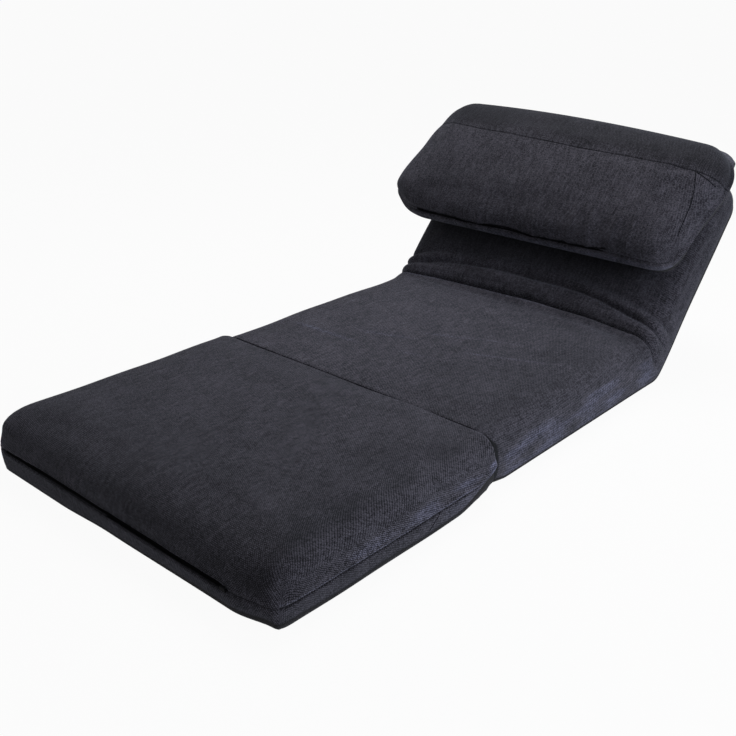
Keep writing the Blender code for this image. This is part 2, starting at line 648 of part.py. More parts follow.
def spring_outline():
    """A leaf spring: an eye round its post, then a blade that lies on the pawl's back."""
    eye = arc((PAWL_REACH, SPRING_RADIAL), SPRING_EYE_R, 190.0, -90.0, 10)
    path = [toward_pawl(*place) for place in eye]
    path.append(lifted(-0.001, PAWL_BACK + SPRING_T / 2 + GAP))
    sides = ([], [])
    for i, (y, z) in enumerate(path):
        before, after = path[max(i - 1, 0)], path[min(i + 1, len(path) - 1)]
        dy, dz = after[0] - before[0], after[1] - before[1]
        long = math.hypot(dy, dz)
        for side, sign in zip(sides, (1.0, -1.0)):
            side.append((y - sign * dz / long * SPRING_T / 2, z + sign * dy / long * SPRING_T / 2))
    return sides[0] + sides[1][::-1]


def at_hinge(points):
    """Move hinge points from the ratchet axis to the seat's frame."""
    return [(BACK_AXIS[1] + y, BACK_AXIS[2] + z) for y, z in points]


def tongue_rivets(start, sign):
    """Where the two rivets cross a hinge arm's tongue inside its tube."""
    return [sign * (start + RIVET_FROM_END + i * RIVET_SPACING) for i in range(2)]


def ratchet(side, sign):
    """One hidden ratchet hinge between the seat frame and the back frame."""
    def span(low, high):
        return (low, high) if sign > 0 else (-high, -low)

    arm = span(FRAME_X - ARM_T / 2, FRAME_X + ARM_T / 2)
    sector = span(FRAME_X + ARM_T / 2 + GAP, FRAME_X + 1.5 * ARM_T + GAP)
    cheek = span(FRAME_X + 1.5 * ARM_T + 2 * GAP, FRAME_X + 1.5 * ARM_T + 2 * GAP + OUTER_PLATE_T)
    stack = (min(arm[0], cheek[0]), max(arm[1], cheek[1]))
    seat_tube = span(FRAME_X - TUBE_R, FRAME_X + TUBE_R)
    back_tube = span(BACK_FRAME_X - TUBE_R, BACK_FRAME_X + TUBE_R)
    post = SPRING_EYE_R - SPRING_T / 2 - GAP
    bores = [circle((0.0, 0.0), PIVOT_R + GAP), circle(PAWL_PIN, PIN_R + GAP, 12),
             circle(SPRING_EYE, post + GAP, 12)]
    seat_places = tongue_rivets(SEAT_TUBE_END, -1.0)
    back_places = tongue_rivets(BACK_TUBE_START, 1.0)
    head = head_outline(SEAT_NECK)
    tongue = SEAT_TUBE_END + TONGUE_LENGTH
    arm_loops = [[(-tongue, -TONGUE_HALF)] + head + [(-tongue, TONGUE_HALF)]] + bores
    arm_loops += [circle((y, 0.0), TUBE_RIVET_R + GAP, 12) for y in seat_places]
    keep("seat_arm_" + side, plate_mesh("arm", [at_hinge(loop) for loop in arm_loops], *arm), SEAT_FRAME, ZINC)
    keep("ratchet_plate_" + side, plate_mesh("cheek", [at_hinge(loop) for loop in [head] + bores], *cheek),
         SEAT_FRAME, ZINC)
    sector_loops = [sector_outline(), circle((0.0, 0.0), PIVOT_R + GAP)]
    sector_loops += [circle((y, 0.0), TUBE_RIVET_R + GAP, 12) for y in back_places]
    keep("ratchet_sector_" + side, plate_mesh("sector", sector_loops, *sector), BACK_FRAME, ZINC)
    pawl_pivot = pivot("pawl_axis_" + side, (0.0, *at_hinge([PAWL_PIN])[0]), 0.0, SEAT_FRAME)
    pawl = [[(y - PAWL_PIN[0], z - PAWL_PIN[1]) for y, z in pawl_outline()], circle((0.0, 0.0), PIN_R + GAP, 12)]
    keep("pawl_" + side, plate_mesh("pawl", pawl, *sector), pawl_pivot, ZINC)
    keep("pawl_spring_" + side, plate_mesh("spring", [at_hinge(spring_outline())], *sector), SEAT_FRAME, ZINC)
    for name, place, shank, cap in (("ratchet_pivot_", (0.0, 0.0), PIVOT_R, PIVOT_HEAD_R),
                                    ("pawl_pin_", PAWL_PIN, PIN_R, PIN_HEAD_R),
                                    ("spring_post_", SPRING_EYE, post, post + 0.002)):
        y, z = at_hinge([place])[0]
        rivet(name + side, *stack, y, z, shank, cap, SEAT_FRAME, ZINC)
    for name, y in zip(("seat_arm_rivet_a_", "seat_arm_rivet_b_"), seat_places):
        y, z = at_hinge([(y, 0.0)])[0]
        cut(SEAT_RAIL, cutter(name + side + "_hole", rod_mesh("hole", *seat_tube, y, z, TUBE_RIVET_R + GAP),
                              SEAT_FRAME))
        rivet(name + side, *seat_tube, y, z, TUBE_RIVET_R, TUBE_RIVET_HEAD_R, SEAT_FRAME, ZINC)
    for name, y in zip(("back_arm_rivet_a_", "back_arm_rivet_b_"), back_places):
        cut(BACK_RAIL, cutter(name + side + "_hole", rod_mesh("hole", *back_tube, y, 0.0, TUBE_RIVET_R + GAP),
                              BACK_FRAME))
        rivet(name + side, *back_tube, y, 0.0, TUBE_RIVET_R, TUBE_RIVET_HEAD_R, BACK_FRAME, ZINC)


ratchet("right", 1)
ratchet("left", -1)


def hinge_welt():
    """The sewn strip that joins the foot block to the seat block at the top of their walls."""
    half = min(FOOT_WIDTH, SEAT_WIDTH) / 2 - SIDE_EDGE - SWELL
    high = SEAT.heights(0.0, SEAT.front)[1]
    y = -HINGE_SPAN / 2
    reach = HINGE_GAP - GAP
    keep("hinge_welt", box_mesh("hinge_welt", (-half, y - reach, high - WELT_HEIGHT), (half, y + reach, high)),
         SEAT_FRAME, FABRIC_DARK, False)


def pillow_flap():
    """The cloth panel sewn across the back that the pillow turns on."""
    half = min(BACK_WIDTH, PILLOW_WIDTH) / 2 - FLAP_SIDE
    low = BACK_FRONT + GAP
    keep("pillow_flap", box_mesh("pillow_flap", (-half, (BACK.front + BACK.rear) / 2, low),
                                 (half, PILLOW_AXIS_Y - GAP, low + FLAP_T)), BACK_FRAME, FABRIC_DARK, False)


def crease_cover():
    """The loose cloth over the crease between seat and back, gathered in soft folds."""
    tilt = math.radians(REST_ANGLE)
    seat_edge = SEAT_REAR - CREASE_SEAT_LAP
    start = seat_edge - BACK_AXIS[1]
    rows = 15
    bm = bmesh.new()
    grid = []
    for seat_x, back_x in list(zip(SEAT.columns(), BACK.columns()))[1:-1]:
        steep = max(0.0, SEAT.plan(seat_x, 0.0)[2])
        lift = (COVER_T + 3 * GAP) / math.sqrt(1.0 - steep * steep)
        seat_h = SEAT.heights(seat_x, seat_edge)[1] - BACK_AXIS[2] + lift
        back_h = BACK.heights(back_x, CREASE_BACK_LAP)[1] + lift
        column = []
        for row in range(rows):
            f = row / (rows - 1)
            fold = math.sin(math.pi * f) * (0.55 + 0.45 * math.cos(6.0 * math.pi * f - 2.6))
            h = seat_h + (back_h - seat_h) * f + FOLD_RISE * (1.0 - 0.6 * steep) * fold
            crease = h * math.tan(tilt / 2)
            if f <= 0.5:
                y, z = start + (-crease - start) * 2.0 * f, h
            else:
                s = crease + (CREASE_BACK_LAP - crease) * (2.0 * f - 1.0)
                y, z = s * math.cos(tilt) - h * math.sin(tilt), s * math.sin(tilt) + h * math.cos(tilt)
            widen = min(1.0, 2.0 * f) if BACK_WIDTH > SEAT_WIDTH else max(0.0, 2.0 * f - 1.0)
            x = seat_x + (back_x - seat_x) * widen
            column.append(bm.verts.new((x, BACK_AXIS[1] + y, BACK_AXIS[2] + z)))
        grid.append(column)
    for left, right in zip(grid, grid[1:]):
        for row in range(rows - 1):
            bm.faces.new((left[row], right[row], right[row + 1], left[row + 1]))
    thicken(keep("crease_cover", finish(bm, "crease_cover"), SEAT_FRAME, FABRIC), COVER_T)


hinge_welt()
pillow_flap()
crease_cover()
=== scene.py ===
"""Looks of the chair bed: padded blocks in a charcoal basket weave, zips, seams and gathered folds."""

import math
from dataclasses import dataclass

import bpy
import numpy as np
from mathutils import Matrix, Vector
from mathutils.bvhtree import BVHTree
from mathutils.kdtree import KDTree


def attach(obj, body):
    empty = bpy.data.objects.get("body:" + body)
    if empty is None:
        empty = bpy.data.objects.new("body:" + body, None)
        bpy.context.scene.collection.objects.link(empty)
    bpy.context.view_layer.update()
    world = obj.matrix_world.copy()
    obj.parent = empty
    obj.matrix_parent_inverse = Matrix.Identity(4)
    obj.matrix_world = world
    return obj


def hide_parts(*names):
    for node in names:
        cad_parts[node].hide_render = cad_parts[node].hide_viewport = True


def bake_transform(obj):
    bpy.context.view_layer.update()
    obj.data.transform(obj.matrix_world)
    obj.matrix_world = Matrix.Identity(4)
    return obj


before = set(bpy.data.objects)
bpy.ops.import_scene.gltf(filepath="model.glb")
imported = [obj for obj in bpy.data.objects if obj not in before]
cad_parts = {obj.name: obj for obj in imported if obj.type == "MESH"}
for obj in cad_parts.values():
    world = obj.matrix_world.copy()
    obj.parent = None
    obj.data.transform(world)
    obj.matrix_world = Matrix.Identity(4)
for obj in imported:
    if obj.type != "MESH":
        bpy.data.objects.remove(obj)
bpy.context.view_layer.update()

# Places in metres: those of the solids, but for FOOT_SEAM, which is drawn above FOOT_SEAM_CAD
THICK = 0.118
FOOT_HINGE_Y = -0.29
FOOT_SEAM_CAD = 0.036
FOOT_SEAM = 0.048
FOOT_ZIP = -0.296, 0.271
BACK_AXIS = Vector((0.0, 0.29, 0.059))
RECLINE = math.radians(46.5)
BACK_END = 0.426
PILLOW_OFFSET = -0.026
PILLOW_HINGE = 0.457, 0.0599
PILLOW_SEAM = 0.0729
PILLOW_ZIP = -0.301, 0.208

WEAVE_ACROSS = 0.0034
WEAVE_ALONG = 0.0027


def ease(low, high, value):
    """0 below low, 1 above high, and a smooth change between."""
    t = np.clip((value - low) / (high - low), 0.0, 1.0)
    return t * t * (3.0 - 2.0 * t)


def bump(value, centre, before, after):
    """A soft hump at centre, with its own width on each side."""
    off = value - centre
    return np.exp(-(off / np.where(off < 0, before, after)) ** 2)


def cells(grid, axis=-1):
    """The four corners of every cell of a grid, in turn."""
    return np.stack([grid[:-1, :-1], grid[1:, :-1], grid[1:, 1:], grid[:-1, 1:]], axis)


class Ripple:
    """Smooth seeded unevenness: a few slow waves in two directions."""

    def __init__(self, seed, shortest, longest, count=14):
        draw = np.random.default_rng(seed)
        turn = draw.uniform(0, math.tau, count)
        size = math.tau / draw.uniform(shortest, longest, count)
        self.waves = np.stack([np.cos(turn) * size, np.sin(turn) * size], 1)
        self.phase = draw.uniform(0, math.tau, count)

    def __call__(self, a, b):
        angle = np.multiply.outer(a, self.waves[:, 0]) + np.multiply.outer(b, self.waves[:, 1]) + self.phase
        return np.sin(angle).sum(-1) / math.sqrt(len(self.phase) / 2)


@dataclass
class Pad:
    """A stuffed block in its own flat space: x across, s along, h up.

    edge and top_drop give the rolled top edges, base_edge and base_drop the lower ones, as side,
    front and rear values; a drop may be a function of x and s. seam is the height of a sewn line
    round the wall. boxed says how square each corner is, from 0 to 1, and lid how much of that is left
    at the top. lines are extra grid lines along s.
    """

    half: float
    front: float
    rear: float
    bottom: float
    top: float
    edge: tuple
    top_drop: tuple
    base_edge: tuple
    base_drop: tuple
    crown: float
    swell: tuple
    seam: float = None
    boxed: object = lambda x, s: 0.0 * x
    lid: float = 0.4
    lines: tuple = ()

    @staticmethod
    def stations(low, high, low_edge, high_edge, n_edge, n_mid, extra):
        """Grid lines that crowd into the rolled edges, with extra ones where the cloth is worked."""
        turn = np.sin(np.pi / 2 * np.arange(n_edge, 0, -1) / n_edge)
        middle = np.linspace(low + low_edge, high - high_edge, n_mid + 1)
        lines = np.concatenate([low + low_edge * (1 - turn), middle, high - high_edge * (1 - turn[::-1])])
        if len(extra):
            keep = (lines < extra[0] - 0.0008) | (lines > extra[-1] + 0.0008)
            lines = np.sort(np.concatenate([lines[keep], extra]))
        return lines

    def reach(self, x, s, edge):
        """How far a point is into the rounding, across and along, and if it is in the front half."""
        side, front, rear = edge
        at_front = s < (self.front + self.rear) / 2
        end = np.where(at_front, front, rear)
        tx = (np.abs(x) - (self.half - side)) / side
        ty = np.where(at_front, self.front + end - s, s - self.rear + end) / end
        return np.clip(tx, 0.0, 1.0), np.clip(ty, 0.0, 1.0), at_front

    def plan(self, x, s, box):
        """The place of a grid point on the plan, whose corners are rounder where box is small."""
        side, front, rear = self.edge
        tx, ty, at_front = self.reach(x, s, self.edge)
        end = np.where(at_front, front, rear)
        power = 2.0 / (1.0 - 0.85 * box)
        norm = np.maximum((tx ** power + ty ** power) ** (1.0 / power), 1e-9)
        pull = np.where(tx + ty > 0, np.maximum(tx, ty) / norm, 1.0)
        px = np.where(tx > 0, np.copysign(self.half - side + side * tx * pull, x), x)
        ends = np.where(at_front, self.front + end - end * ty * pull, self.rear - end + end * ty * pull)
        return px, np.where(ty > 0, ends, s)

    def share(self, values, x, s, edge):
        """A side value mixed with an end value round a corner."""
        tx, ty, at_front = self.reach(x, s, edge)
        side, front, rear = [v(x, s) if callable(v) else v for v in values]
        total = np.maximum(tx * tx + ty * ty, 1e-12)
        return (side * tx * tx + np.where(at_front, front, rear) * ty * ty) / total

    def roll(self, drops, x, s, edge):
        """How far the surface has rolled off towards an edge."""
        tx, ty, _ = self.reach(x, s, edge)
        return self.share(drops, x, s, edge) * (1.0 - np.sqrt(1.0 - np.maximum(tx, ty) ** 2))

    def heights(self, x, s):
        """The heights of the underside and of the top."""
        middle, half = (self.front + self.rear) / 2, (self.rear - self.front) / 2
        level = 1.0 - (1.0 - (x / self.half) ** 2) * (1.0 - ((s - middle) / half) ** 2)
        low = self.bottom + self.roll(self.base_drop, x, s, self.base_edge)
        return low, self.top - self.crown * level - self.roll(self.top_drop, x, s, self.edge)

    def sheet(self, n_edge, n_mid_x, n_mid_s, rows):
        """The whole skin. rows are shares of the wall's height, or offsets from the seam if there is one."""
        xs = self.stations(-self.half, self.half, self.edge[0], self.edge[0], n_edge, n_mid_x, ())
        ss = self.stations(self.front, self.rear, self.edge[1], self.edge[2], n_edge, n_mid_s, self.lines)
        nx, ns = len(xs) - 1, len(ss) - 1
        gx, gs = np.meshgrid(xs, ss, indexing="ij")
        low, high = self.heights(gx, gs)
        box = self.boxed(gx, gs)
        top = np.stack([*self.plan(gx, gs, box * self.lid), high], -1)
        base = np.stack([*self.plan(gx, gs, box), low], -1)
        rim = ([(i, 0) for i in range(nx)] + [(nx, j) for j in range(ns)]
               + [(i, ns) for i in range(nx, 0, -1)] + [(0, j) for j in range(ns, 0, -1)])
        sides = np.array([0] * nx + [1] * ns + [2] * nx + [3] * ns)
        ri, rj = np.array(rim).T
        rim_x, rim_s = gx[ri, rj], gs[ri, rj]
        count = len(rim)
        z_low, z_high = low[ri, rj][:, None], high[ri, rj][:, None]
        if self.seam is None:
            z = z_low + (z_high - z_low) * rows[None, :]
            off = np.full_like(z, 1.0)
            above = np.clip((z - z_low) / (z_high - z_low), 0, 1)
        else:
            seam = np.minimum(np.maximum(self.seam, z_low + 0.010), z_high - 0.006)
            under, over = rows[rows < 0], rows[rows >= 0]
            z = np.concatenate([seam - (seam - z_low) * (under / under.min())[None, :],
                                seam + (z_high - seam) * (over / over.max())[None, :]], 1)
            off = z - seam
            above = (0.35 * np.clip((z - z_low) / (seam - z_low), 0, 1)
                     + 0.65 * np.clip((z - seam) / (z_high - seam), 0, 1))
        nw = z.shape[1] - 1
        w = 2 * (z - z_low) / (z_high - z_low) - 1
        rtx, rty, at_front = self.reach(rim_x, rim_s, self.edge)
        out = self.share(self.swell, rim_x, rim_s, self.edge)[:, None]
        out = out * np.maximum(0.0, 1 - w * w) ** 1.5
        length = np.hypot(rtx, rty)
        out_x = np.copysign(rtx, rim_x) / length
        out_s = np.where(at_front, -rty, rty) / length
        square = box[ri, rj][:, None] * (1 - (1 - self.lid) * above)
        wx, ws = self.plan(rim_x[:, None], rim_s[:, None], square)
        wall = np.stack([wx + out * out_x[:, None], ws + out * out_s[:, None], z], -1)
        n_top = (nx + 1) * (ns + 1)
        ids = np.arange(n_top).reshape(nx + 1, ns + 1)
        wall_ids = np.empty((count, nw + 1), int)
        wall_ids[:, 0] = ids[ri, rj] + n_top
        wall_ids[:, nw] = ids[ri, rj]
        wall_ids[:, 1:nw] = 2 * n_top + np.arange(count * (nw - 1)).reshape(count, nw - 1)
        points = np.concatenate([top.reshape(-1, 3), base.reshape(-1, 3), wall[:, 1:nw].reshape(-1, 3)])
        nxt = np.roll(np.arange(count), -1)
        lids = [cells(a).reshape(-1, 4) for a in (ids, ids + n_top)]
        walls = cells(np.concatenate([wall_ids, wall_ids[:1]])).reshape(-1, 4)
        quads = np.concatenate([lids[0], lids[1][:, ::-1], walls])
        uv_top, uv_low = self.cloth(top, nx // 2), self.cloth(base, nx // 2) + (5.0, 0.0)
        depth = np.linalg.norm(np.diff(wall, axis=1), axis=-1)
        depth = np.concatenate([np.cumsum(depth[:, ::-1], 1)[:, ::-1], np.zeros((count, 1))], 1)
        lid_uv = [cells(a, 2).reshape(-1, 4, 2) for a in (uv_top, uv_low)]
        slope = np.array([(0, -1), (1, 0), (0, 1), (-1, 0)])[sides]
        here, there = uv_top[ri, rj], uv_top[ri[nxt], rj[nxt]]
        run = [(here, depth[:, :-1]), (there, depth[nxt, :-1]), (there, depth[nxt, 1:]), (here, depth[:, 1:])]
        wall_uv = np.stack([a[:, None] + d[..., None] * slope[:, None] for a, d in run], 2).reshape(-1, 4, 2)
        band = (off[:, :-1] + off[:, 1:]) / 2 < -0.0005
        skin = Skin(points, quads, np.concatenate([lid_uv[0], lid_uv[1][:, ::-1], wall_uv]),
                    np.concatenate([np.zeros(len(lids[0])), np.ones(len(lids[1])),
                                    np.where(band, 3, 2).reshape(-1)]))
        skin.off[2 * n_top:] = off[:, 1:nw].reshape(-1)
        skin.side[2 * n_top:] = np.repeat(sides, nw - 1)
        skin.rim = ids[ri, rj] + n_top
        return skin

    @staticmethod
    def cloth(grid, middle):
        """Lengths along the cloth in both directions."""
        across = np.linalg.norm(np.diff(grid, axis=0), axis=-1)
        along = np.linalg.norm(np.diff(grid, axis=1), axis=-1)
        u = np.concatenate([np.zeros((1, grid.shape[1])), np.cumsum(across, 0)])
        v = np.concatenate([np.zeros((grid.shape[0], 1)), np.cumsum(along, 1)], 1)
        return np.stack([u - u[middle][None, :], v], -1)


class Skin:
    """Points, quads, cloth coordinates and panel numbers of a padded piece.

    Panels: 0 top, 1 underside, 2 wall, 3 band below the seam, 4 zip slot. off is a wall point's
    height over its seam, side the wall it belongs to, from the front round to the left, and rim
    the points where the wall meets the underside.
    """

    def __init__(self, points, quads, cloth, panel):
        self.points, self.quads, self.cloth, self.panel = points, quads, cloth, panel.astype(int)
        # shade: painted shade above 0 and painted highlight below 0, for each point
        self.shade = np.zeros(len(points))
        self.off = np.full(len(points), 1.0)
        self.side = np.full(len(points), -1)
        self.rim = np.arange(0)

    def normals(self):
        p, q = self.points, self.quads
        n = np.cross(p[q[:, 2]] - p[q[:, 0]], p[q[:, 3]] - p[q[:, 1]])
        total = np.zeros_like(p)
        for k in range(4):
            np.add.at(total, q[:, k], n)
        return total / np.maximum(np.linalg.norm(total, axis=1, keepdims=True), 1e-12)

    def raise_by(self, amount):
        self.points = self.points + self.normals() * amount[:, None]

    def close_rim(self):
        """The sewn line round the underside, drawn in, with painted shade along it."""
        draw_in = np.zeros(len(self.points))
        draw_in[self.rim] = -0.0010
        self.raise_by(draw_in)
        self.shade[self.rim] = 0.7

    def touch(self, starts, direction):
        """Where lines in one direction first meet the skin."""
        tree = BVHTree.FromPolygons(self.points.tolist(), self.quads.tolist())
        hits = [tree.ray_cast(Vector(p), Vector(direction))[0] for p in starts]
        return np.array([h for h in hits if h is not None])

    def object(self, name, place, looks):
        """The piece as a mesh object, with its place in its mesh; looks holds a material for each panel."""
        mesh = bpy.data.meshes.new(name)
        mesh.from_pydata(place(self.points).tolist(), [], self.quads.tolist())
        kinds = list(dict.fromkeys(looks))
        dressed(mesh, kinds, np.array([kinds.index(k) for k in looks])[self.panel])
        layer = mesh.uv_layers.new(name="cloth")
        layer.uv.foreach_set("vector", self.cloth.reshape(-1).astype(np.float32))
        shade = mesh.attributes.new("shade", "FLOAT", "POINT")
        shade.data.foreach_set("value", self.shade.astype(np.float32))
        return placed(name, mesh)


def dressed(mesh, looks, kinds):
    """The mesh with smooth faces, and for each face the material that kinds counts out of looks."""
    mesh.materials.clear()
    for look in looks:
        mesh.materials.append(look)
    mesh.polygons.foreach_set("material_index", np.asarray(kinds, np.int32))
    mesh.polygons.foreach_set("use_smooth", np.ones(len(mesh.polygons), bool))
    return mesh


def placed(name, mesh):
    """A mesh in the scene, at the origin."""
    mesh.update()
    piece = bpy.data.objects.new(name, mesh)
    bpy.context.scene.collection.objects.link(piece)
    return piece


def operator(operation):
    """A method that adds one Math node."""
    return lambda self, other: self.math(operation, other)


class Value:
    """A shader socket that takes part in Python expressions."""

    def __init__(self, tree, socket):
        self.tree, self.socket = tree, socket

    def math(self, operation, *others):
        return self.tree.add("ShaderNodeMath", {"operation": operation}, (self, *others))

    __add__ = __radd__ = operator("ADD")
    __mul__ = __rmul__ = operator("MULTIPLY")
    __sub__, __truediv__, __mod__ = map(operator, ("SUBTRACT", "DIVIDE", "FLOORED_MODULO"))

    def __rsub__(self, other):
        return self.tree.add("ShaderNodeMath", {"operation": "SUBTRACT"}, (other, self))

    def floor(self):
        return self.math("FLOOR")

    def wave(self):
        return (self * math.pi).math("SINE")

    def clamp(self):
        return self.math("MAXIMUM", 0.0).math("MINIMUM", 1.0)


class Tree:
    """A node tree built in expressions."""

    def __init__(self, tree):
        self.tree = tree

    def node(self, kind, settings, inputs):
        """One node: its type, its settings, and the values or links of its sockets."""
        node = self.tree.nodes.new(kind)
        for key, value in settings.items():
            setattr(node, key, value)
        pairs = inputs.items() if isinstance(inputs, dict) else enumerate(inputs)
        for key, value in pairs:
            self.link(value, node.inputs[key])
        return node

    def add(self, kind, settings, inputs, output=0):
        """A new node, as the value of one of its outputs."""
        return Value(self, self.node(kind, settings, inputs).outputs[output])

    def link(self, value, socket):
        if isinstance(value, Value):
            self.tree.links.new(value.socket, socket)
        else:
            socket.default_value = value


class Look(Tree):
    """A procedural material on one Principled shader."""

    def __init__(self, name, **constants):
        self.material = bpy.data.materials.new(name)
        self.material.use_nodes = True
        super().__init__(self.material.node_tree)
        self.shader = self.tree.nodes["Principled BSDF"]
        for socket, value in constants.items():
            self.shader.inputs[socket.replace("_", " ")].default_value = value

    def mix(self, share, first, second):
        return self.add("ShaderNodeMix", {"data_type": "RGBA"}, {0: share, 6: first, 7: second}, 2)

    def noise(self, vector, scale, detail=2.0, roughness=0.5):
        inputs = {"Vector": vector, "Scale": scale, "Detail": detail, "Roughness": roughness}
        return self.add("ShaderNodeTexNoise", {}, inputs)

    def part(self, vector, axis):
        return self.add("ShaderNodeSeparateXYZ", {}, {0: vector}, axis)

    def join(self, x, y):
        return self.add("ShaderNodeCombineXYZ", {}, {0: x, 1: y})

    def speckle(self, x, y):
        """A random value for every pair of whole numbers."""
        return self.add("ShaderNodeTexWhiteNoise", {"noise_dimensions": "2D"}, {"Vector": self.join(x, y)})

    def bump(self, height, strength, distance):
        return self.add("ShaderNodeBump", {}, {"Strength": strength, "Distance": distance, "Height": height})

    def set(self, **sockets):
        for socket, value in sockets.items():
            self.link(value, self.shader.inputs[socket.replace("_", " ")])
        return self.material


def rgb(r, g, b):
    """A display colour as linear light."""
    return tuple(c / 12.92 if c <= 0.04045 else ((c + 0.055) / 1.055) ** 2.4
                 for c in (r / 255, g / 255, b / 255)) + (1.0,)


def basket_weave(name, deep, lit):
    """Chunky plain weave: flecked yarn with slubs, darker between the threads."""
    look = Look(name, Sheen_Weight=0.10, Sheen_Roughness=0.5, Sheen_Tint=(0.72, 0.80, 1.0, 1.0),
                Specular_IOR_Level=0.2)
    cloth = look.add("ShaderNodeUVMap", {"uv_map": "cloth"}, {})
    wander = look.add("ShaderNodeTexNoise", {}, {"Vector": cloth, "Scale": 210.0, "Detail": 1.0}, "Color")
    drift = look.add("ShaderNodeVectorMath", {"operation": "MULTIPLY_ADD"},
                     {0: wander, 1: (0.0012, 0.0012, 0.0), 2: cloth})
    v = look.part(drift, 1) / WEAVE_ALONG
    row = v.floor()
    u = look.part(drift, 0) / WEAVE_ACROSS + (row % 2.0) * 0.5
    column = u.floor()
    knot = u.wave().math("ABSOLUTE") * (v.wave().math("ABSOLUTE") * 0.6 + 0.4)
    fleck = look.speckle(column, row)
    grain = look.speckle((u * 1.7).floor(), (v * 1.7).floor())
    slub_warp = look.noise(look.join(column * 5.3, v * 0.09), 1.0, 1.0)
    slub_weft = look.noise(look.join(u * 0.07, row * 6.1), 1.0, 1.0)
    hair = look.noise(cloth, 700.0)
    patch = look.noise(cloth, 10.0, 3.0, 0.6)
    worn = look.noise(cloth, 48.0, 3.0, 0.6)
    tone = knot * knot * 0.95
    for uneven, share in ((fleck, 0.20), (grain, 0.55), (slub_warp, 0.75), (slub_weft, 0.25), (hair, 0.4),
                          (patch, 0.6), (worn, 0.2)):
        tone = tone + (uneven - 0.5) * share
    tone = (tone + 0.02).clamp()
    colour = shaded(look, look.mix(tone, deep, lit), deep)
    height = knot + (hair - 0.5) * 0.5 + (fleck - 0.5) * 0.4
    return look.set(Base_Color=colour, Normal=look.bump(height, 0.6, 0.0008), Roughness=0.98 - tone * 0.1)


def shaded(look, colour, deep):
    """The colour with light and shade painted into it: painted shade where the shade attribute is above 0, a
    bluish painted highlight where it is below.
    """
    shade = look.add("ShaderNodeAttribute", {"attribute_name": "shade"}, {}, "Fac")
    # Painted shade draws the colour towards near black; the painted highlight makes it brighter and bluer.
    dark = look.mix(shade.clamp(), colour, (deep[0] * 0.3, deep[1] * 0.3, deep[2] * 0.35, 1.0))
    painted_highlight = look.add("ShaderNodeMix", {"data_type": "RGBA", "blend_type": "MULTIPLY"},
                      {0: 1.0, 6: dark, 7: (2.7, 3.0, 3.7, 1.0)}, 2)
    return look.mix((shade * -1.0).clamp(), dark, painted_highlight)


def base_cloth(name, deep, lit):
    """Plain close-woven cloth of the bands and undersides."""
    look = Look(name, Sheen_Weight=0.06, Specular_IOR_Level=0.2)
    cloth = look.add("ShaderNodeUVMap", {"uv_map": "cloth"}, {})
    u, v = look.part(cloth, 0) / 0.0015, look.part(cloth, 1) / 0.0015
    grid = u.wave() * v.wave()
    fleck = look.speckle(u.floor(), v.floor())
    cloud = look.noise(cloth, 60.0, 4.0, 0.65)
    tone = (grid * 0.2 + (fleck - 0.5) * 0.5 + (cloud - 0.5) * 1.6 + 0.5).clamp()
    colour = shaded(look, look.mix(tone, deep, lit), deep)
    return look.set(Base_Color=colour, Normal=look.bump(grid, 0.4, 0.0004), Roughness=0.97 - cloud * 0.1)


def steel(name, dark, light, metallic, rough, scale):
    """Tube paint or zinc plate with a fine uneven finish."""
    look = Look(name, Metallic=metallic)
    place = look.add("ShaderNodeTexCoord", {}, {}, "Object")
    streak = look.add("ShaderNodeMapping", {}, {"Vector": place, "Scale": (scale, scale * 0.2, scale)})
    grain = look.noise(streak, 1.0, 4.0)
    return look.set(Base_Color=look.mix(grain, dark, light), Roughness=grain * 0.25 + rough,
                    Normal=look.bump(grain, 0.15, 0.0002))


def black_nylon(name, dark, light, rough, scale):
    """Zip coil, zip tape or sewing thread: matt black with a fine fibre grain."""
    look = Look(name, Specular_IOR_Level=0.03)
    place = look.add("ShaderNodeTexCoord", {}, {}, "Object")
    grain = look.noise(place, scale)
    return look.set(Base_Color=look.mix(grain, dark, light), Roughness=grain * 0.2 + rough,
                    Normal=look.bump(grain, 0.3, 0.0002))


WEAVE = basket_weave("charcoal_weave", rgb(11, 10, 14), rgb(108, 105, 117))
BAND = base_cloth("charcoal_band", rgb(24, 25, 29), rgb(72, 73, 81))
BASE = base_cloth("underside_cloth", rgb(20, 20, 23), rgb(48, 48, 53))
COIL = black_nylon("zip_coil", rgb(7, 7, 9), rgb(15, 15, 18), 0.75, 900.0)
TAPE = black_nylon("zip_tape", rgb(4, 4, 5), rgb(11, 11, 13), 0.8, 1400.0)
THREAD = black_nylon("seam_thread", rgb(15, 15, 18), rgb(34, 34, 39), 0.85, 1100.0)
TUBE = steel("tube_paint", rgb(28, 28, 30), rgb(38, 38, 41), 0.0, 0.35, 300.0)
ZINC = steel("zinc_plate", rgb(168, 170, 174), rgb(198, 200, 203), 1.0, 0.28, 500.0)
SLIDER = black_nylon("black_lacquer", rgb(9, 9, 11), rgb(20, 20, 23), 0.5, 900.0)
PANELS = [WEAVE, BASE, WEAVE, WEAVE, TAPE]


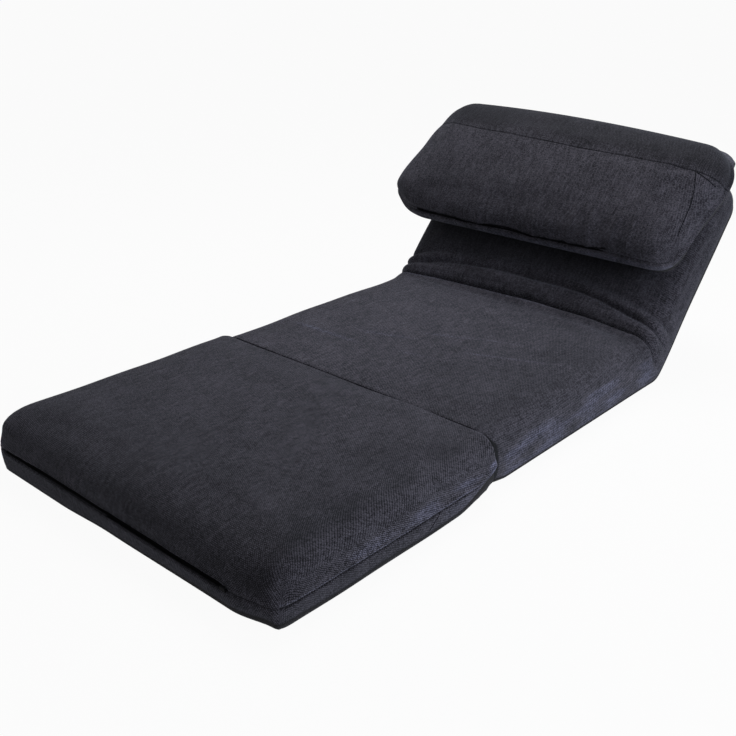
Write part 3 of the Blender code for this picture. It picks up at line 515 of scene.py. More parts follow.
class Run(Tree):
    """Geometry Nodes that lay a repeated or swept shape along a path of points."""

    def __init__(self, name):
        super().__init__(bpy.data.node_groups.new(name, "GeometryNodeTree"))
        self.name, self.sizes = name, {}
        for label, way in (("Path", "INPUT"), ("Shape", "OUTPUT")):
            self.tree.interface.new_socket(label, in_out=way, socket_type="NodeSocketGeometry")
        self.entry = self.node("NodeGroupInput", {}, {})
        self.path = Value(self, self.entry.outputs["Path"])

    def size(self, name, value):
        """A named input of the tree, in metres."""
        socket = self.tree.interface.new_socket(name, in_out="INPUT", socket_type="NodeSocketFloat")
        self.sizes[socket.identifier] = value
        return Value(self, self.entry.outputs[name])

    def bake(self, points, shape, look):
        """The finished mesh: real geometry with one material."""
        real = self.add("GeometryNodeRealizeInstances", {}, {0: shape})
        made = self.add("GeometryNodeSetMaterial", {}, {"Geometry": real, "Material": look})
        self.node("NodeGroupOutput", {}, {0: made})
        path = bpy.data.meshes.new(self.name)
        path.from_pydata([tuple(p) for p in points], [(i, i + 1) for i in range(len(points) - 1)], [])
        holder = placed(self.name, path)
        nodes = holder.modifiers.new(self.name, "NODES")
        nodes.node_group = self.tree
        for identifier, value in self.sizes.items():
            nodes[identifier] = value
        mesh = bpy.data.meshes.new_from_object(holder.evaluated_get(bpy.context.evaluated_depsgraph_get()))
        bpy.data.objects.remove(holder)
        return dressed(mesh, [look], np.zeros(len(mesh.polygons)))


def repeated(run, points, shape, pitch, look, **form):
    """One shape again and again along the path, turned to follow it."""
    curve = run.add("GeometryNodeMeshToCurve", {}, {0: run.path})
    spots = run.node("GeometryNodeCurveToPoints", {"mode": "LENGTH"},
                     {"Curve": curve, "Length": run.size("Pitch", pitch)})
    formed = run.add("GeometryNodeTransform", {}, {"Geometry": shape, **form})
    made = run.add("GeometryNodeInstanceOnPoints", {}, {
        "Points": Value(run, spots.outputs["Points"]), "Instance": formed,
        "Rotation": Value(run, spots.outputs["Rotation"])})
    return run.bake(points, made, look)


def coil_teeth(name, points):
    """The coil of a zip: one short turn of nylon after another."""
    run = Run(name)
    wire, width = run.size("Wire", 0.00055), run.size("Width", 0.0034)
    tooth = run.add("GeometryNodeMeshCylinder", {}, {"Vertices": 6, "Radius": wire, "Depth": width})
    return repeated(run, points, tooth, 0.0017, COIL, Rotation=(0.0, 1.3, 0.25))


def stitch_row(name, points):
    """A row of lockstitches."""
    run = Run(name)
    half = run.size("Length", 0.0016)
    stitch = run.add("GeometryNodeMeshUVSphere", {}, {"Segments": 6, "Rings": 4, "Radius": half})
    return repeated(run, points, stitch, 0.0042, THREAD, Scale=(0.28, 0.28, 1.0))


def seam_line(name, points, radius):
    """A closed seam: a fine dark ridge that follows the cloth."""
    run = Run(name)
    curve = run.add("GeometryNodeMeshToCurve", {}, {0: run.path})
    even = run.add("GeometryNodeResampleCurve", {}, {"Curve": curve, "Count": 60})
    thick = run.size("Radius", radius)
    ring = run.add("GeometryNodeCurvePrimitiveCircle", {}, {"Resolution": 6, "Radius": thick})
    made = run.add("GeometryNodeCurveToMesh", {}, {"Curve": even, "Profile Curve": ring, "Fill Caps": True})
    return run.bake(points, made, THREAD)


def joined(name, *meshes):
    """Several meshes as one piece."""
    whole = bpy.data.meshes.new(name)
    looks = list(dict.fromkeys(m.materials[0] for m in meshes))
    points, faces, kinds = [], [], []
    for mesh in meshes:
        start = len(points)
        points += [tuple(v.co) for v in mesh.vertices]
        faces += [[start + i for i in f.vertices] for f in mesh.polygons]
        kinds += [looks.index(mesh.materials[0])] * len(mesh.polygons)
    whole.from_pydata(points, [], faces)
    return placed(name, dressed(whole, looks, kinds))


STUFFING_FRAMES = 20


def settle(pad, coarse, pins, seed, cap, pressure):
    """How far each coarse point moves when the cloth is stuffed, found with a cloth simulation."""
    skin = pad.sheet(*coarse)
    grip = np.clip(pins(skin.points), 0.0, 1.0)
    start = skin.points - skin.normals() * (0.004 * (1.0 - grip))[:, None]
    mesh = bpy.data.meshes.new("stuffing")
    mesh.from_pydata(start.tolist(), [], skin.quads.tolist())
    body = placed("stuffing", mesh)
    uneven = Ripple(seed, 0.10, 0.30)(skin.points[:, 0], skin.points[:, 1])
    for name, weights in (("held", grip), ("loft", np.clip(0.6 + 0.4 * uneven, 0.05, 1.0))):
        group = body.vertex_groups.new(name=name)
        for index, weight in enumerate(weights):
            if weight > 0:
                group.add([index], float(weight), "REPLACE")
    cloth = body.modifiers.new("cloth", "CLOTH")
    s = cloth.settings
    s.quality, s.mass, s.air_damping = 4, 0.2, 4.0
    s.tension_stiffness = s.compression_stiffness = 18.0
    s.shear_stiffness, s.bending_stiffness = 6.0, 1.2
    s.use_pressure, s.uniform_pressure_force = True, pressure
    s.vertex_group_mass, s.vertex_group_pressure = "held", "loft"
    s.effector_weights.gravity = 0.0
    cloth.collision_settings.use_collision = False
    cloth.point_cache.frame_start, cloth.point_cache.frame_end = 1, STUFFING_FRAMES
    scene = bpy.context.scene
    for tick in range(1, STUFFING_FRAMES + 1):
        scene.frame_set(tick)
    done = body.evaluated_get(bpy.context.evaluated_depsgraph_get())
    after = np.empty(len(start) * 3, np.float32)
    done.data.vertices.foreach_get("co", after)
    scene.frame_set(1)
    bpy.data.objects.remove(body)
    bpy.data.meshes.remove(mesh)
    move = after.reshape(-1, 3) - skin.points
    size = np.linalg.norm(move, axis=1, keepdims=True)
    return skin.points, move * np.minimum(1.0, cap / np.maximum(size, 1e-9))


def carry(points, anchors, moves, reach=0.012, near=10):
    """The coarse movement read at finer points, smoothed over its neighbours."""
    tree = KDTree(len(anchors))
    for index, anchor in enumerate(anchors):
        tree.insert(anchor, index)
    tree.balance()
    result = np.empty_like(points)
    for row, point in enumerate(points):
        found = tree.find_n(point, near)
        weight = np.exp(-np.array([f[2] for f in found]) ** 2 / (2 * reach * reach)) + 1e-9
        result[row] = weight @ moves[[f[1] for f in found]] / weight.sum()
    return result


def stuffed(pad, fine, coarse, pins, seed, cap=0.005, pressure=4.0):
    """The fine skin of a pad, moved as its coarse one is by the stuffing, least at the sewn edges."""
    skin = pad.sheet(*fine)
    x, s, _ = skin.points.T
    to_edge = np.minimum(pad.half - np.abs(x), np.minimum(s - pad.front, pad.rear - s))
    slack = 0.12 + 0.88 * ease(0.01, 0.09, to_edge)
    moves = carry(skin.points, *settle(pad, coarse, pins, seed, cap, pressure))
    skin.points = skin.points + moves * slack[:, None]
    return skin


BY_SEAM = np.array([0.0014, 0.0026, 0.0034, 0.0048, 0.007, 0.010, 0.014, 0.019, 0.025])
SEAM_ROWS = np.concatenate([[-0.040, -0.032], -BY_SEAM[::-1], [0.0], BY_SEAM, [0.034]])


def sewn_seam(skin, depth, ripple):
    """A sewn line round the wall: the upper cloth stands over it as a lip, with puckers beside it."""
    groove = bump(skin.off, -0.0012, 0.0016, 0.0014)
    lip = bump(skin.off, 0.0028, 0.0016, 0.0050)
    run = skin.points[:, 0] + skin.points[:, 1]
    pucker = np.exp(-np.abs(skin.off) / 0.014) * ripple(run, skin.off * 0.2)
    return groove, depth * (0.55 * lip - groove) + 0.0003 * pucker * (1 - groove)


def zip_slot(skin, start, stop, depth, tall):
    """The open slot of a zip in the front wall: the cloth turns in between two lips."""
    x = skin.points[:, 0]
    taper = ease(stop + 0.003, stop - 0.022, x) * ease(start - 0.004, start + 0.006, x)
    taper = taper * (1.0 + 0.07 * np.sin(x * 31.0) + 0.05 * np.sin(x * 67.0 + 1.0)) * (skin.side == 0)
    inside = ease(tall + 0.0012, tall - 0.0012, np.abs(skin.off) / np.maximum(taper, 0.02)) * (taper > 0.03)
    lip = bump(np.abs(skin.off), tall + 0.0026, 0.0018, 0.0040) * np.minimum(taper, 1.0)
    # The slot's faces take the black tape material: partly the tape seen in the slot, partly painted shade on
    # the cloth that turns in
    slot_faces = (skin.panel >= 2) & (inside[skin.quads].min(1) > 0.15)
    skin.panel[slot_faces] = 4
    return inside, lip * 0.0015 - inside * depth


def pressed_flat(z, where=1.0):
    """Heights kept just under the level at which the folded foot lies on the seat."""
    soft, start = 0.003, THICK - 0.0034
    over = np.maximum(z - start, 0.0)
    return z - where * (over - soft * np.tanh(over / soft))


def crossing_fold(p, start, stop, width, height):
    """A faint straight wrinkle between two points of the cloth, fading at its ends."""
    a, b = np.array(start), np.array(stop)
    run = b - a
    t = ((p[:, :2] - a) @ run) / (run @ run)
    off = (p[:, :2] - a) @ np.array([-run[1], run[0]]) / np.linalg.norm(run)
    return height * np.exp(-(off / width) ** 2) * ease(-0.2, 0.3, t) * ease(1.2, 0.7, t)


def lean(s):
    """The blocks lie a little to the left of each other towards the head end."""
    return -0.0145 * np.maximum(0.0, s + 0.55)


def leaned(p):
    return np.column_stack([p[:, 0] + lean(p[:, 1]), p[:, 1], p[:, 2]])


def painted_wall_highlight(skin, seed, strength, start):
    """Painted sheen highlight on the right wall, in long streaks and patches, away from the front corner; it
    is given as negative shade.
    """
    y, z = skin.points[:, 1], skin.points[:, 2]
    streak = Ripple(seed, 0.03, 0.12)(y * 0.3, z * 3.0) * 0.35 + Ripple(seed + 1, 0.08, 0.25)(y, z) * 0.3
    return (-strength * np.clip(0.5 + streak, 0.0, 1.0) * (skin.side == 1) * ease(0.002, 0.008, skin.off)
            * ease(start, start + 0.10, y))


# Foot block
def foot_front_base(x, s):
    """The front band sits low on the left and rises to the right corner."""
    return (0.014 + 0.0045 * ease(0.0, 0.25, x) + 0.004 * ease(0.28, 0.345, x)
            - 0.008 * ease(-0.02, -0.16, x))


foot_pad = Pad(half=0.354, front=-0.797, rear=-0.2904, bottom=0.0004, top=0.1155, edge=(0.042, 0.078, 0.010),
               top_drop=(lambda x, s: np.where(x > 0, 0.036, 0.027),
                         lambda x, s: 0.058 - 0.025 * ease(-0.2, -0.34, x), 0.0018),
               base_edge=(0.024, 0.034, 0.100),
               base_drop=(lambda x, s: 0.0170 + 0.0015 * np.sin(s * 31.0), foot_front_base,
                          lambda x, s: 0.045 + 0.050 * ease(0.28, 0.34, np.abs(x))),
               crown=0.0025, swell=(0.004, 0.004, 0.0), seam=FOOT_SEAM,
               boxed=lambda x, s: np.where(s > -0.55, 0.34, np.where(x > 0, 0.97, 0.66)))


def foot_pins(p):
    _, y, z = p.T
    return np.clip(1.0 - z / 0.03, 0, 1) + ease(0.02, 0.0, np.abs(z - FOOT_SEAM)) * (y < -0.7) + (y > -0.30)


def place_foot(p):
    """The front draws back a little towards its right corner."""
    back = 0.013 * ease(0.265, 0.355, p[:, 0]) * ease(-0.70, -0.78, p[:, 1])
    return leaned(np.column_stack([p[:, 0], p[:, 1] + back, p[:, 2]]))


foot_skin = stuffed(foot_pad, fine=(10, 110, 80, SEAM_ROWS), coarse=(4, 50, 36, np.linspace(-0.036, 0.05, 9)),
                    pins=foot_pins, seed=3)
groove, seam_move = sewn_seam(foot_skin, 0.0022, Ripple(11, 0.02, 0.06))
slot, slot_move = zip_slot(foot_skin, -0.325, FOOT_ZIP[1], depth=0.0045, tall=0.0036)
on_front = foot_skin.side == 0
seam_move = seam_move * np.where(on_front, 0.45, 1.0)
x, y, z = foot_skin.points.T
on_top = z > 0.055
sag = Ripple(41, 0.14, 0.34)(x, y) * 0.0010 * on_top
dent = -crossing_fold(foot_skin.points, (-0.185, -0.412), (-0.10, -0.405), 0.012, 0.0022) * on_top
foot_skin.raise_by(seam_move * (1 - slot) + slot_move + sag + dent)
foot_skin.points[:, 2] = pressed_flat(foot_skin.points[:, 2])
# Painted shade in patches along the top's rounded right edge
painted_shoulder_shade = bump(x, 0.318, 0.035, 0.018) * np.clip(0.6 + 0.4 * Ripple(51, 0.08, 0.25)(x, y), 0, 1) * on_top
right_wall, below_seam = foot_skin.side == 1, foot_skin.off < -0.001
# Painted shade: in the seam groove and the zip slot, along the top's right edge, over the whole foot and more
# towards the front; the band below the seam is a little darker too
foot_painted_shade = np.clip(groove * np.where(on_front, 0.35, 0.6) + slot + 0.40 * painted_shoulder_shade
                + 0.16 + 0.14 * ease(-0.40, -0.75, y) + 0.06 * below_seam, 0, 1)
# Painted highlights: the lip over the side seam, the rear edge of the right wall, and the lower rear corner
# below the seam
seam_lip_highlight = bump(foot_skin.off, 0.0026, 0.0010, 0.0014) * right_wall
rear_edge_highlight = bump(y, -0.304, 0.010, 0.006) * right_wall
low_corner_painted_light = ease(0.27, 0.33, x) * below_seam * ease(-0.52, -0.40, y) * (1 - groove)
# The right wall's painted sheen is kept out of the seam groove
foot_skin.shade = (foot_painted_shade + painted_wall_highlight(foot_skin, 53, 0.42, -0.80) * (1 - groove)
                   - 0.55 * seam_lip_highlight - 0.40 * rear_edge_highlight - 0.32 * low_corner_painted_light)
foot_skin.close_rim()
foot = foot_skin.object("foot_block", place_foot, PANELS)


# Seat and back: one pad, bent at the ratchet axis
HALF_SHIFT = THICK / 2 * math.tan(RECLINE / 2)
CORNER_TOP = np.array([BACK_AXIS.y - HALF_SHIFT, THICK])
CORNER_LOW = np.array([BACK_AXIS.y + HALF_SHIFT, 0.0])
UP_BACK = np.array([math.cos(RECLINE), math.sin(RECLINE)])
BEND_ZONE = 0.10
BACK_FLARE = 0.018


def turn_corner(corner, along, radius):
    """A level line that turns up the back at corner, rounded over radius."""
    level, slope = np.array([1.0, 0.0]), UP_BACK
    t = np.clip((along + radius) / (2 * radius), 0, 1)[..., None]
    curve = ((corner - level * radius) * (1 - t) ** 2 + corner * 2 * t * (1 - t)
             + (corner + slope * radius) * t ** 2)
    straight = corner + np.where(along[..., None] < 0, level, slope) * along[..., None]
    return np.where((np.abs(along) < radius)[..., None], curve, straight)


def shift(off):
    """How far the top cloth falls back, and the base runs on, at a length from the axis."""
    return np.sin(np.pi / 2 * np.clip(off / BEND_ZONE, -1, 1)) * HALF_SHIFT


def bend(p):
    """From the flat pad to the reclined shape."""
    off = p[:, 1] - BACK_AXIS.y
    upper = turn_corner(CORNER_TOP, off - shift(off), 0.022)
    lower = turn_corner(CORNER_LOW, off + shift(off), 0.018)
    share = (p[:, 2] / THICK)[:, None]
    across = p[:, 0] * (1 + BACK_FLARE * ease(0.25, 0.45, p[:, 1])) + lean(p[:, 1])
    return np.column_stack([across, lower + (upper - lower) * share])


def crease_at(s):
    """Length along the top cloth from the inner corner."""
    off = s - BACK_AXIS.y
    return off - shift(off)


seat_pad = Pad(half=0.337, front=-0.2896, rear=BACK_AXIS.y + BACK_END, bottom=0.0004, top=0.1178,
               edge=(0.042, 0.010, 0.050), top_drop=(0.034, 0.0018, 0.042), base_edge=(0.050, 0.060, 0.050),
               base_drop=(lambda x, s: 0.013 + 0.020 * ease(0.30, 0.45, s), 0.040, 0.036),
               crown=0.004, swell=(0.004, 0.0, 0.004),
               lines=np.arange(0.258, 0.376, 0.0016))


def seat_pins(p):
    _, s, h = p.T
    return np.clip(1.0 - h / 0.03, 0, 1) + (s < -0.28) + 0.6 * bump(s, BACK_AXIS.y, 0.05, 0.05)


seat_skin = stuffed(seat_pad, fine=(10, 104, 190, np.linspace(0, 1, 15)),
                    coarse=(4, 48, 74, np.linspace(0, 1, 9)), pins=seat_pins, seed=7)

FOLDS = (  # at middle, at ends, height at middle, height at ends, width before, width after
    (0.002, -0.012, 0.0060, 0.0045, 0.030, 0.0034),
    (0.010, -0.003, -0.0135, -0.0070, 0.0044, 0.0060),
    (0.036, 0.012, 0.0095, 0.0060, 0.0150, 0.0160),
    (0.062, 0.022, -0.0052, -0.0055, 0.0042, 0.0075),
    (0.078, 0.034, 0.0032, 0.0045, 0.0080, 0.0150),
    (0.098, 0.045, -0.0012, -0.0034, 0.0090, 0.0110),
)
RIDGES = (  # start, stop, width, height
    ((0.09, -0.055), (0.29, 0.03), 0.0045, 1.0),
    ((0.05, 0.02), (0.26, 0.085), 0.005, 0.7),
    ((-0.02, -0.02), (0.08, 0.02), 0.004, 0.6),
    ((-0.13, -0.10), (-0.02, -0.06), 0.006, 0.4),
    ((0.00, -0.13), (0.12, -0.10), 0.006, 0.4),
    ((-0.26, -0.155), (-0.10, -0.15), 0.005, 0.7),
)


def crease_folds(skin):
    """Cloth gathered in the crease: folds that run across and draw together at the sides."""
    x, s, h = skin.points.T
    q = crease_at(s)
    end = np.clip((np.abs(x) - 0.04) / 0.295, 0.0, 1.0) ** 1.7
    upper = ease(0.035, 0.085, h)
    total = np.zeros(len(x))
    for n, (mid, out, tall, tall_out, before, after) in enumerate(FOLDS):
        wave = 0.0018 * np.sin(x * (9 + 2.1 * n) + 1.7 * n) + 0.0008 * np.sin(x * (23 + 3 * n) + n)
        centre = mid + (out - mid) * end + wave * (1 - end)
        tight = 1 - 0.45 * end
        height = (tall + (tall_out - tall) * end) * (1 + 0.25 * np.sin(x * 6.3 + 2.2 * n))
        total += height * bump(q, centre, before * tight, after * tight)
    return total * upper


folds = crease_folds(seat_skin)
x, s, h = seat_skin.points.T
on_top = ease(0.06, 0.09, h)
ridges = sum(crossing_fold(seat_skin.points, *ridge) for ridge in RIDGES) * on_top
hollows = crossing_fold(seat_skin.points, (0.10, -0.02), (0.28, 0.055), 0.010, 0.0014) * on_top
slack = Ripple(43, 0.14, 0.36)(x, s) * 0.0010 * on_top
seat_skin.raise_by(folds + 0.0028 * ridges - hollows + slack)
seat_skin.points[:, 2] = pressed_flat(seat_skin.points[:, 2], ease(0.25, 0.21, s))
# Painted shade in patches along the top's rounded right edge
painted_shoulder_shade = bump(x, 0.302, 0.03, 0.018) * np.clip(0.5 + 0.4 * Ripple(55, 0.08, 0.25)(x, s), 0, 1) * on_top
q = crease_at(s)
foot_end = -0.2650 - 0.0185 * ease(0.080, 0.108, h)
# Painted shadow of the foot's corner on the seat's right wall
shadow_behind_foot = ease(foot_end, foot_end - 0.0040, s) * ease(0.312, 0.326, x)
# Painted highlight along the crest of the seat cloth's lip at the crease
lip = bump(q, 0.001 - 0.014 * ease(0.14, 0.335, np.abs(x)), 0.004, 0.003) * on_top
# Painted shadow of the pillow on the back
pillow_shadow = bump(q, 0.16, 0.09, 0.2) * ease(0.30, 0.20, x) * on_top
# Painted shade on the right wall next to the foot
shade_near_foot = ease(-0.236, -0.258, s) * (seat_skin.side == 1)
# Painted shade over the back
back_shade = ease(0.04, 0.12, q)
# Painted shade on the right of the seat's top
seat_right_shade = ease(-0.05, 0.22, x) * ease(0.03, -0.03, q) * on_top
# Painted sheen highlight on the right wall, kept out of the foot's painted shadow
shine = painted_wall_highlight(seat_skin, 57, 0.30, -0.40) * ease(0.32, 0.26, s) * (1 - shadow_behind_foot)
# Painted shade in the fold valleys and along the right edge; painted highlights on the ridges and the lip
seat_skin.shade = (np.clip(-folds * 50, 0, 0.8) + 0.16 * painted_shoulder_shade * (s < 0.25) - 0.40 * ridges - 0.15 * lip
                   + shadow_behind_foot + 0.25 * shade_near_foot + 0.46 * pillow_shadow + shine
                   + 0.28 * back_shade + 0.22 * seat_right_shade)
seat_skin.close_rim()
seat = seat_skin.object("seat_and_back_cover", bend, PANELS)


# Pillow
PILLOW_TOP_SEAM = -0.090
pillow_pad = Pad(half=0.382, front=-0.299, rear=0.003, bottom=0.0012, top=0.1180, edge=(0.070, 0.066, 0.075),
                 top_drop=(0.050, 0.034, 0.050), base_edge=(0.070, 0.040, 0.030),
                 base_drop=(0.040, 0.026, 0.005), crown=0.010, swell=(0.006, 0.010, 0.004), seam=PILLOW_SEAM,
                 boxed=lambda x, s: np.where(s < -0.15, np.where(x < 0, 0.60, 0.40), 0.0),
                 lines=np.arange(-0.109, -0.083, 0.0011))
PUCKERS = (  # place, turn, height
    (0.03, 0.01, 0.5), (0.075, -0.006, 0.6), (0.118, 0.012, 0.6), (0.165, 0.004, 0.8),
    (0.214, 0.018, 1.0), (0.255, 0.01, 0.6), (-0.12, 0.008, 0.4), (-0.31, -0.02, 0.7),
)
PILLOW_ROWS = np.concatenate([SEAM_ROWS[SEAM_ROWS < 0] * 1.4, SEAM_ROWS[SEAM_ROWS >= 0] * 0.6])


def pillow_pins(p):
    return (p[:, 2] < 0.004) + ease(0.014, 0.0, np.abs(p[:, 2] - PILLOW_SEAM)) * (p[:, 1] < -0.24)


pillow_skin = stuffed(pillow_pad, fine=(11, 110, 50, PILLOW_ROWS),
                      coarse=(5, 52, 20, np.linspace(-0.05, 0.02, 9)), pins=pillow_pins, seed=5, cap=0.006,
                      pressure=5.0)
groove, seam_move = sewn_seam(pillow_skin, 0.0018, Ripple(21, 0.018, 0.05))
slot, slot_move = zip_slot(pillow_skin, -0.304, PILLOW_ZIP[1], depth=0.0030, tall=0.0019)
on_front = pillow_skin.side == 0
x, y, z = pillow_skin.points.T
on_top = z > 0.05
seam_y = PILLOW_TOP_SEAM - 0.009 * (1 - ((x + 0.05) / 0.38) ** 2)
top_seam = bump(y, seam_y, 0.0013, 0.0013) * on_top
soft_dip = bump(y, seam_y, 0.014, 0.014) * on_top
puckers = sum(crossing_fold(pillow_skin.points, (at, -0.31), (at + turn, -0.225), 0.006, tall)
              for at, turn, tall in PUCKERS) * on_top
plump = Ripple(45, 0.10, 0.28)(x, y) * 0.0012 * ease(-0.03, -0.10, y) * on_top
pillow_skin.raise_by(seam_move * on_front * (1 - slot) + slot_move - 0.0014 * top_seam - 0.0012 * soft_dip
                     + 0.0030 * puckers + plump)
# Painted light on the panel below the zip
painted_light_below_zip = ease(-0.004, -0.010, pillow_skin.off) * on_front
# Painted shade in the seam grooves and the zip slot, over the whole pillow, more to the left and most on the
# top panel behind its seam; painted highlights on the puckers and below the zip
pillow_skin.shade = (np.clip(groove * 0.35 * on_front + slot + top_seam * 0.45, 0, 1) - 0.12 * puckers
                     + 0.07 - 0.20 * painted_light_below_zip + 0.08 * ease(-0.05, -0.25, x)
                     + 0.62 * ease(PILLOW_TOP_SEAM - 0.02, PILLOW_TOP_SEAM + 0.03, y) * on_top)


def on_back(p):
    """From the back's own space to the part's."""
    x, y, z = p.T
    c, s = UP_BACK
    return np.column_stack([x, BACK_AXIS.y + y * c - z * s, BACK_AXIS.z + y * s + z * c])


def place_pillow(p):
    """The pillow is narrower at its top left and lies askew, but its zip stays level."""
    x, y, z = p.T
    high = np.clip((y + 0.27) / 0.27, 0, 1)
    arc = 0.004 - 0.014 * (x / 0.38) ** 2
    left_tip = ease(-0.28, -0.38, x)
    tip_in = 0.032 * ease(-0.25, -0.305, y) - 0.009 * ease(-0.05, -0.14, y) - 0.013 * ease(-0.15, -0.24, y)
    x = (x * (1 - np.where(x < 0, 0.10, 0.0) * high) + left_tip * tip_in
         - 0.026 * ease(0.24, 0.38, x) * ease(0.75, 0.1, high))
    sewn = ease(-0.08, -0.01, y) * ease(0.055, 0.008, z)
    askew = (0.009 * left_tip * (1 - high)
             + (1 - sewn) * (arc * ease(0.5, 1.0, high) - 0.042 * x * ease(0.0, 0.6, high)))
    return on_back(np.column_stack([x + PILLOW_OFFSET, y + askew + PILLOW_HINGE[0], z + PILLOW_HINGE[1]]))


pillow_skin.close_rim()
pillow = pillow_skin.object("head_pillow", place_pillow, PANELS)


# Zips: coil and tape in each slot
def zip_chain(name, start, stop, skin, seam, tall, place):
    """A closed zip on the floor of its slot, with its tape behind it."""
    floor = skin.touch([(x, -1.2, seam) for x in np.linspace(start, stop, 60)], (0, 1, 0))
    coil = coil_teeth(name + "_turns", floor - (0.0, 0.0003, 0.0))
    tape = bpy.data.meshes.new(name + "_tape")
    tape.from_pydata([(x, y - 0.0001, z) for x, y, _ in floor for z in (seam - tall, seam + tall)], [],
                     [(2 * i, 2 * i + 2, 2 * i + 3, 2 * i + 1) for i in range(len(floor) - 1)])
    tape.materials.append(TAPE)
    piece = joined(name, coil, tape)
    where = np.array([v.co for v in piece.data.vertices])
    piece.data.vertices.foreach_set("co", place(where).astype(np.float32).reshape(-1))
    piece.data.update()
    return piece


foot_chain = zip_chain("foot_zip_coil", *FOOT_ZIP, foot_skin, FOOT_SEAM, 0.0022, place_foot)
pillow_chain = zip_chain("pillow_zip_coil", *PILLOW_ZIP, pillow_skin, PILLOW_SEAM, 0.0010, place_pillow)

# Frame, ratchets and sliders, drawn from the solids; the foot's slider is moved up to its zip
for node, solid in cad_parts.items():
    solid.data.materials.clear()
    look = TUBE if node.endswith(("frame", "crossbar")) else SLIDER if "slider" in node else ZINC
    solid.data.materials.append(look)
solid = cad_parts["foot_zip_slider"]
slider_mesh = solid.data.copy()
slider_mesh.transform(Matrix.Translation((0.0, 0.0, FOOT_SEAM - FOOT_SEAM_CAD)) @ solid.matrix_world)
foot_slider = placed("foot_slider_on_zip", slider_mesh)


# Seams that cross the panels
def laid_seam(name, starts, direction, skin, place, radius=0.0011):
    """A seam line dropped onto a skin, sunk a little, and moved with it."""
    return seam_line(name, place(skin.touch(starts, direction) + np.array(direction) * 0.0004), radius)


ABOVE, DOWN = 0.3, (0, 0, -1)
right_seam = [(0.332 + 0.075 * t - 0.035 * t * t, -0.092 - 0.150 * t, ABOVE) for t in np.linspace(0, 1, 40)]
branch = [(0.330 + 0.045 * t, -0.090 - 0.012 * t, ABOVE) for t in np.linspace(0, 1, 14)]
pillow_seams = joined("pillow_panel_seams",
                      laid_seam("pillow_end_seam", right_seam, DOWN, pillow_skin, place_pillow),
                      laid_seam("pillow_end_branch", branch, DOWN, pillow_skin, place_pillow))
band_join = [(0.5, -0.446 - 0.023 * t, 0.046 - 0.024 * t) for t in np.linspace(0, 1, 12)]
foot_seams = joined("foot_band_seam",
                    laid_seam("foot_band_join", band_join, (-1, 0, 0), foot_skin, place_foot, 0.0010))


def strip(name, grid, place, look):
    """A strip of cloth over a grid of points, and the size it was cut to."""
    uv = Pad.cloth(grid, len(grid) // 2)
    ids = np.arange(grid.shape[0] * grid.shape[1]).reshape(grid.shape[:2])
    quads = cells(ids).reshape(-1, 4)
    skin = Skin(grid.reshape(-1, 3), quads, cells(uv, 2).reshape(-1, 4, 2), np.zeros(len(quads)))
    return skin.object(name, place, [look]), (float(uv[-1, 0, 0] - uv[0, 0, 0]), float(uv[0, -1, 1]))


# Hinge tape: folded between foot and seat, sewn to both walls
TAPE_HALF = 0.0003
arch = [(FOOT_HINGE_Y - TAPE_HALF * math.cos(a), 0.1106 + TAPE_HALF * math.sin(a))
        for a in np.linspace(math.pi, 0, 9)]
tape_path = ([(FOOT_HINGE_Y + TAPE_HALF, z) for z in np.linspace(0.092, 0.110, 6)] + arch
             + [(FOOT_HINGE_Y - TAPE_HALF, z) for z in np.linspace(0.110, 0.092, 6)])
tape_grid = np.array([[(x, y, z) for y, z in tape_path] for x in np.linspace(-0.29, 0.285, 60)])
hinge_tape, tape_flat = strip("hinge_tape", tape_grid, leaned, WEAVE)

# Pillow flap: laid on the back, out to the pillow's turning edge
FLAP_LIFTS = 0.36
flap_y = np.concatenate([np.linspace(0.185, FLAP_LIFTS, 26), np.linspace(0.366, PILLOW_HINGE[0] - 0.001, 12)])
flap_x, flap_y = np.meshgrid(np.linspace(-0.275, 0.245, 60), flap_y, indexing="ij")
on_cover = np.minimum(flap_y, FLAP_LIFTS) + BACK_AXIS.y
drops = np.stack([(flap_x - lean(on_cover)) / (1 + BACK_FLARE), on_cover, np.full_like(flap_x, ABOVE)], -1)
cover_z = seat_skin.touch(drops.reshape(-1, 3), DOWN)[:, 2].reshape(flap_x.shape) - BACK_AXIS.z + 0.0014
hinge_z = PILLOW_HINGE[1] - 0.0003
flap_z = hinge_z - (hinge_z - cover_z) * ease(PILLOW_HINGE[0], FLAP_LIFTS, flap_y)
flap_grid = np.stack([flap_x, flap_y, flap_z], -1)
flap, flap_flat = strip("pillow_flap_cloth", flap_grid, on_back, BAND)
flap_edge = on_back(flap_grid[:, 1] + (0.0, 0.0, 0.0002))
flap_stitches = placed("pillow_flap_stitches", stitch_row("flap_stitches", flap_edge))

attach(foot, "foot")
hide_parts("foot_cover", "foot_base_cover", "foot_foam")
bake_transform(seat)
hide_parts("seat_cover", "seat_underside", "seat_upper_foam", "seat_lower_foam", "crease_cover",
            "back_cover", "back_rear_panel", "back_front_foam", "back_rear_foam")
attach(foot_slider, "foot_slider")
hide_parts("foot_zip_slider")
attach(pillow, "pillow")
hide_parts("pillow_cover", "pillow_base_cover", "pillow_filling")
for chain, body in ((foot_chain, "foot"), (pillow_chain, "pillow")):
    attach(chain, body)
    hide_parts(body + "_zip_chain")
for seams, body in ((pillow_seams, "pillow"), (foot_seams, "foot"), (flap_stitches, "back")):
    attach(seams, body)
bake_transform(hinge_tape)
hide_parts("hinge_welt")
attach(flap, "back")
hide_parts("pillow_flap")

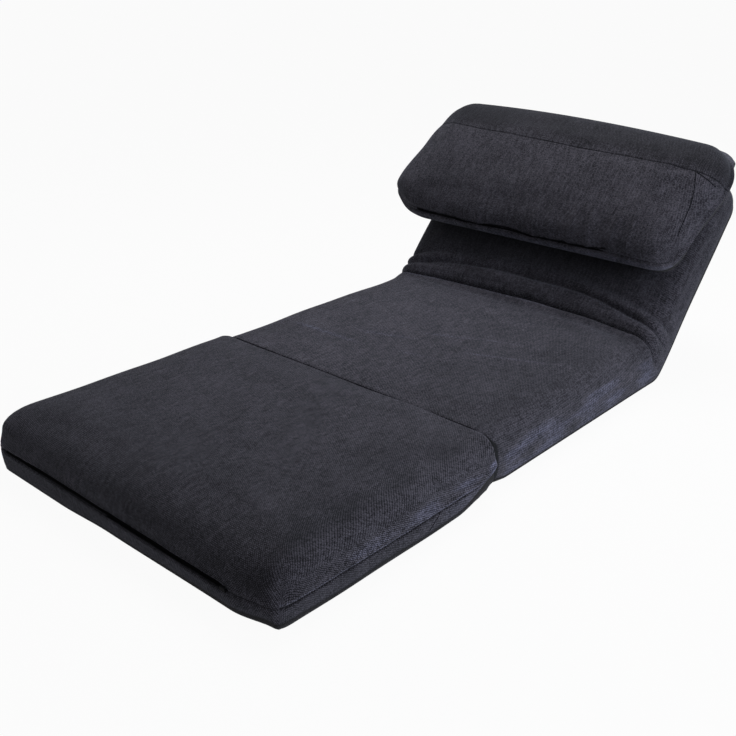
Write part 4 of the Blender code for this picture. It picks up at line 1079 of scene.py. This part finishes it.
# Camera, floor and light
scene = bpy.context.scene
scene.view_settings.view_transform = "Standard"
camera = bpy.data.objects.new("camera", bpy.data.cameras.new("camera"))
scene.collection.objects.link(camera)
scene.camera = camera
SENSOR, FOCAL_PIXELS, IMAGE_PIXELS = 36.0, 999.0, 736.0
camera.data.sensor_width = SENSOR
camera.data.lens = SENSOR * FOCAL_PIXELS / IMAGE_PIXELS
azimuth, elevation = math.radians(42.70), math.radians(23.46)
backward = Vector((math.sin(azimuth) * math.cos(elevation), -math.cos(azimuth) * math.cos(elevation),
                   math.sin(elevation)))
camera.matrix_world = (Matrix.Translation((1.17106, -1.49336, 0.86263))
                       @ backward.to_track_quat("Z", "Y").to_matrix().to_4x4())


def seen(tree):
    """1 where the camera looks, straight or by way of gloss and glass."""
    path = tree.node("ShaderNodeLightPath", {}, {})
    straight, gloss, glass = [Value(tree, path.outputs[f"Is {ray} Ray"])
                              for ray in ("Camera", "Glossy", "Transmission")]
    return straight.math("MAXIMUM", gloss).math("MAXIMUM", glass)


def pale_floor(glow):
    """A pale floor that the camera sees near white, still taking the object's shadow."""
    look = Look("floor_white", Roughness=0.9, Base_Color=(0.85, 0.85, 0.85, 1.0))
    shine = look.add("ShaderNodeEmission", {}, {})
    matt = Value(look, look.shader.outputs[0])
    both = look.add("ShaderNodeMixShader", {}, {0: seen(look) * glow, 1: matt, 2: shine})
    look.link(both, look.tree.nodes["Material Output"].inputs[0])
    return look.material


floor_mesh = bpy.data.meshes.new("floor")
floor_mesh.from_pydata([(-40, -40, 0), (40, -40, 0), (40, 40, 0), (-40, 40, 0)], [], [(0, 1, 2, 3)])
floor_mesh.materials.append(pale_floor(0.95))
placed("floor", floor_mesh)

world = scene.world = bpy.data.worlds.new("studio")
world.use_nodes = True
sky = Tree(world.node_tree)
dim = sky.add("ShaderNodeMix", {}, {0: seen(sky), 2: 0.09, 3: 1.0})
sky.link(dim, sky.tree.nodes["Background"].inputs["Strength"])
sky.tree.nodes["Background"].inputs["Color"].default_value = (1.0, 1.0, 1.0, 1.0)


def softbox(name, place, aim, size, power, colour=(1.0, 1.0, 1.0)):
    """A round soft light that points at aim."""
    lamp = bpy.data.lights.new(name, "AREA")
    lamp.shape, lamp.size, lamp.energy, lamp.color = "DISK", size, power, colour
    holder = bpy.data.objects.new(name, lamp)
    scene.collection.objects.link(holder)
    holder.location = place
    holder.rotation_euler = (Vector(place) - Vector(aim)).to_track_quat("Z", "Y").to_euler()


softbox("overhead", (-0.1, 0.55, 1.9), (0.0, 0.0, 0.0), 1.3, 20.0)
softbox("right_side", (2.7, 0.0, 0.75), (0.0, -0.1, 0.1), 1.3, 36.0, (0.86, 0.92, 1.0))

bpy.context.view_layer.update()
